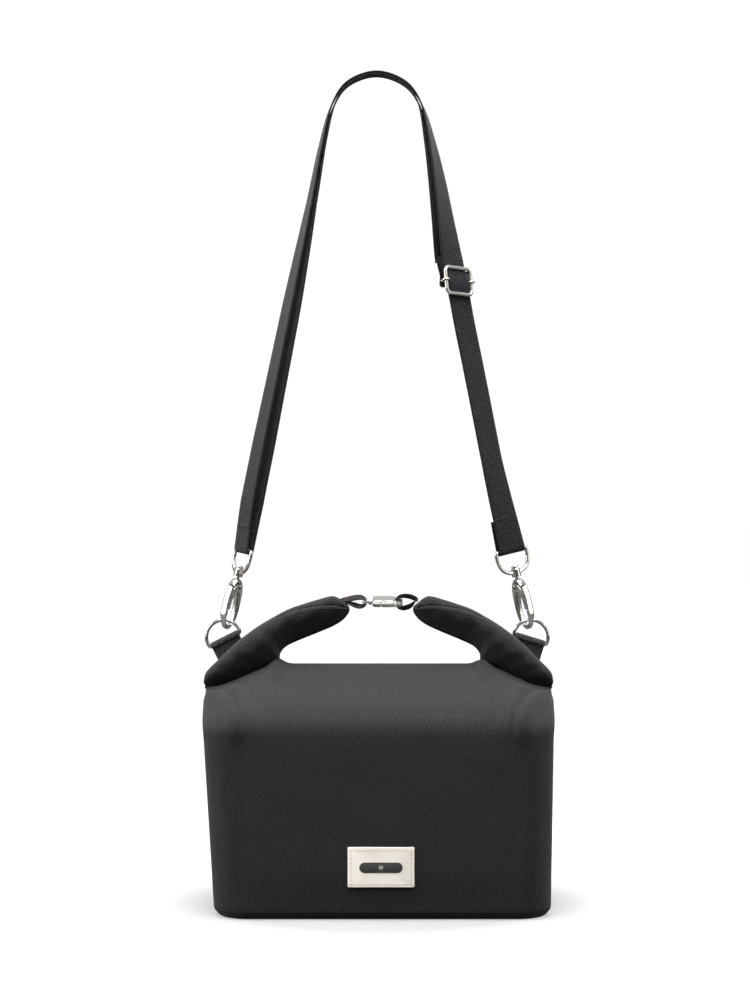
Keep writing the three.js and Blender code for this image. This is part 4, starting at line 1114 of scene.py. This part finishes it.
def studio():
    """Pale floor whose glow to the camera is lower near the bag, as a painted shadow, in a white
    room, with one broad soft box above, one in front, one each side.
    """
    mesh = bpy.data.meshes.new("floor")
    far = 30
    mesh.from_pydata([(-far, -far, 0), (far, -far, 0), (far, far, 0), (-far, far, 0)],
                     [], [(0, 1, 2, 3)])
    floor = bpy.data.objects.new("floor", mesh)
    link(floor)
    made, tree, bsdf = material("floor_with_painted_shadow", Roughness=0.9, Specular_IOR_Level=0.0)
    path = add(tree, "LightPath")
    seen = path.outputs["Is Camera Ray"]
    direct = add(tree, "Math", [(0, seen), (1, path.outputs["Is Glossy Ray"])],
                 operation="ADD")
    # Floor colour is #7a7a7a to camera and glossy rays and a darker #5a5a5a to other rays, so
    # less light bounces up onto the bag.
    tone = add(tree, "Mix", [("Factor", direct)], data_type="RGBA")
    tone.inputs["A"].default_value = paint("#5a5a5a")
    tone.inputs["B"].default_value = paint("#7a7a7a")
    tree.links.new(tone.outputs["Result"], bsdf.inputs["Base Color"])
    # Painted shadow: the floor emits light to the camera only, at strength 0.42 in an ellipse
    # close round the bag and rising to 1.0 further out, so the dimmer pool round the base stands
    # in for the bag's shadow.
    place = add(tree, "TexCoord").outputs["Object"]
    painted_shadow_ellipse = add(tree, "Mapping", [("Vector", place)], Scale=(1 / 0.2, 1 / 0.19, 1))
    painted_shadow_distance = add(tree, "VectorMath", [(0, painted_shadow_ellipse)],
               operation="LENGTH")
    lift = add(tree, "MapRange", [("Value", painted_shadow_distance.outputs["Value"])],
               From_Min=0.62, From_Max=1.1, To_Min=0.42, To_Max=1.0)
    camera_glow_with_painted_shadow = add(tree, "Math", [(0, seen), (1, lift)],
               operation="MULTIPLY")
    bsdf.inputs["Emission Color"].default_value = (1, 1, 1, 1)
    tree.links.new(camera_glow_with_painted_shadow.outputs[0], bsdf.inputs["Emission Strength"])
    mesh.materials.append(made)
    world = bpy.data.worlds.new("white_room")
    bpy.context.scene.world = world
    world.use_nodes = True
    room = world.node_tree
    path = add(room, "LightPath")
    way = add(room, "TexCoord").outputs["Generated"]
    parts = add(room, "SeparateXYZ", [("Vector", way)])
    behind = add(room, "MapRange", [("Value", parts.outputs["Y"])],
                 From_Min=0.45, From_Max=0.95, To_Min=0.28, To_Max=0.9)
    above = add(room, "MapRange", [("Value", parts.outputs["Z"])],
                From_Min=0.3, From_Max=0.9, To_Min=0.0, To_Max=0.5)
    mirrored = add(room, "Math", [(0, behind),
                                            (1, above)], operation="ADD")
    level = add(room, "Mix", [("Factor", path.outputs["Is Glossy Ray"]),
                                        ("B", mirrored)], A=0.05)
    seen = add(room, "Mix", [("Factor", path.outputs["Is Camera Ray"]),
                                       ("A", level.outputs["Result"])], B=1.05)
    room.links.new(seen.outputs["Result"], room.nodes["Background"].inputs["Strength"])
    room.nodes["Background"].inputs["Color"].default_value = (1, 1, 1, 1)
    bpy.context.scene.view_settings.view_transform = "Standard"
    soft_light("top_box", (0, -0.2, 1.7), (0, 0, 0.1), (1.3, 0.9), 50)
    soft_light("front_box", (0, -1.15, 1.8), (0, 0, 0.15), (1.4, 0.5), 24)
    soft_light("left_box", (-1.7, -0.55, 0.9), (0, 0, 0.2), (0.5, 1.4), 28)
    soft_light("right_box", (1.7, -0.55, 0.9), (0, 0, 0.2), (0.5, 1.4), 12)


studio()
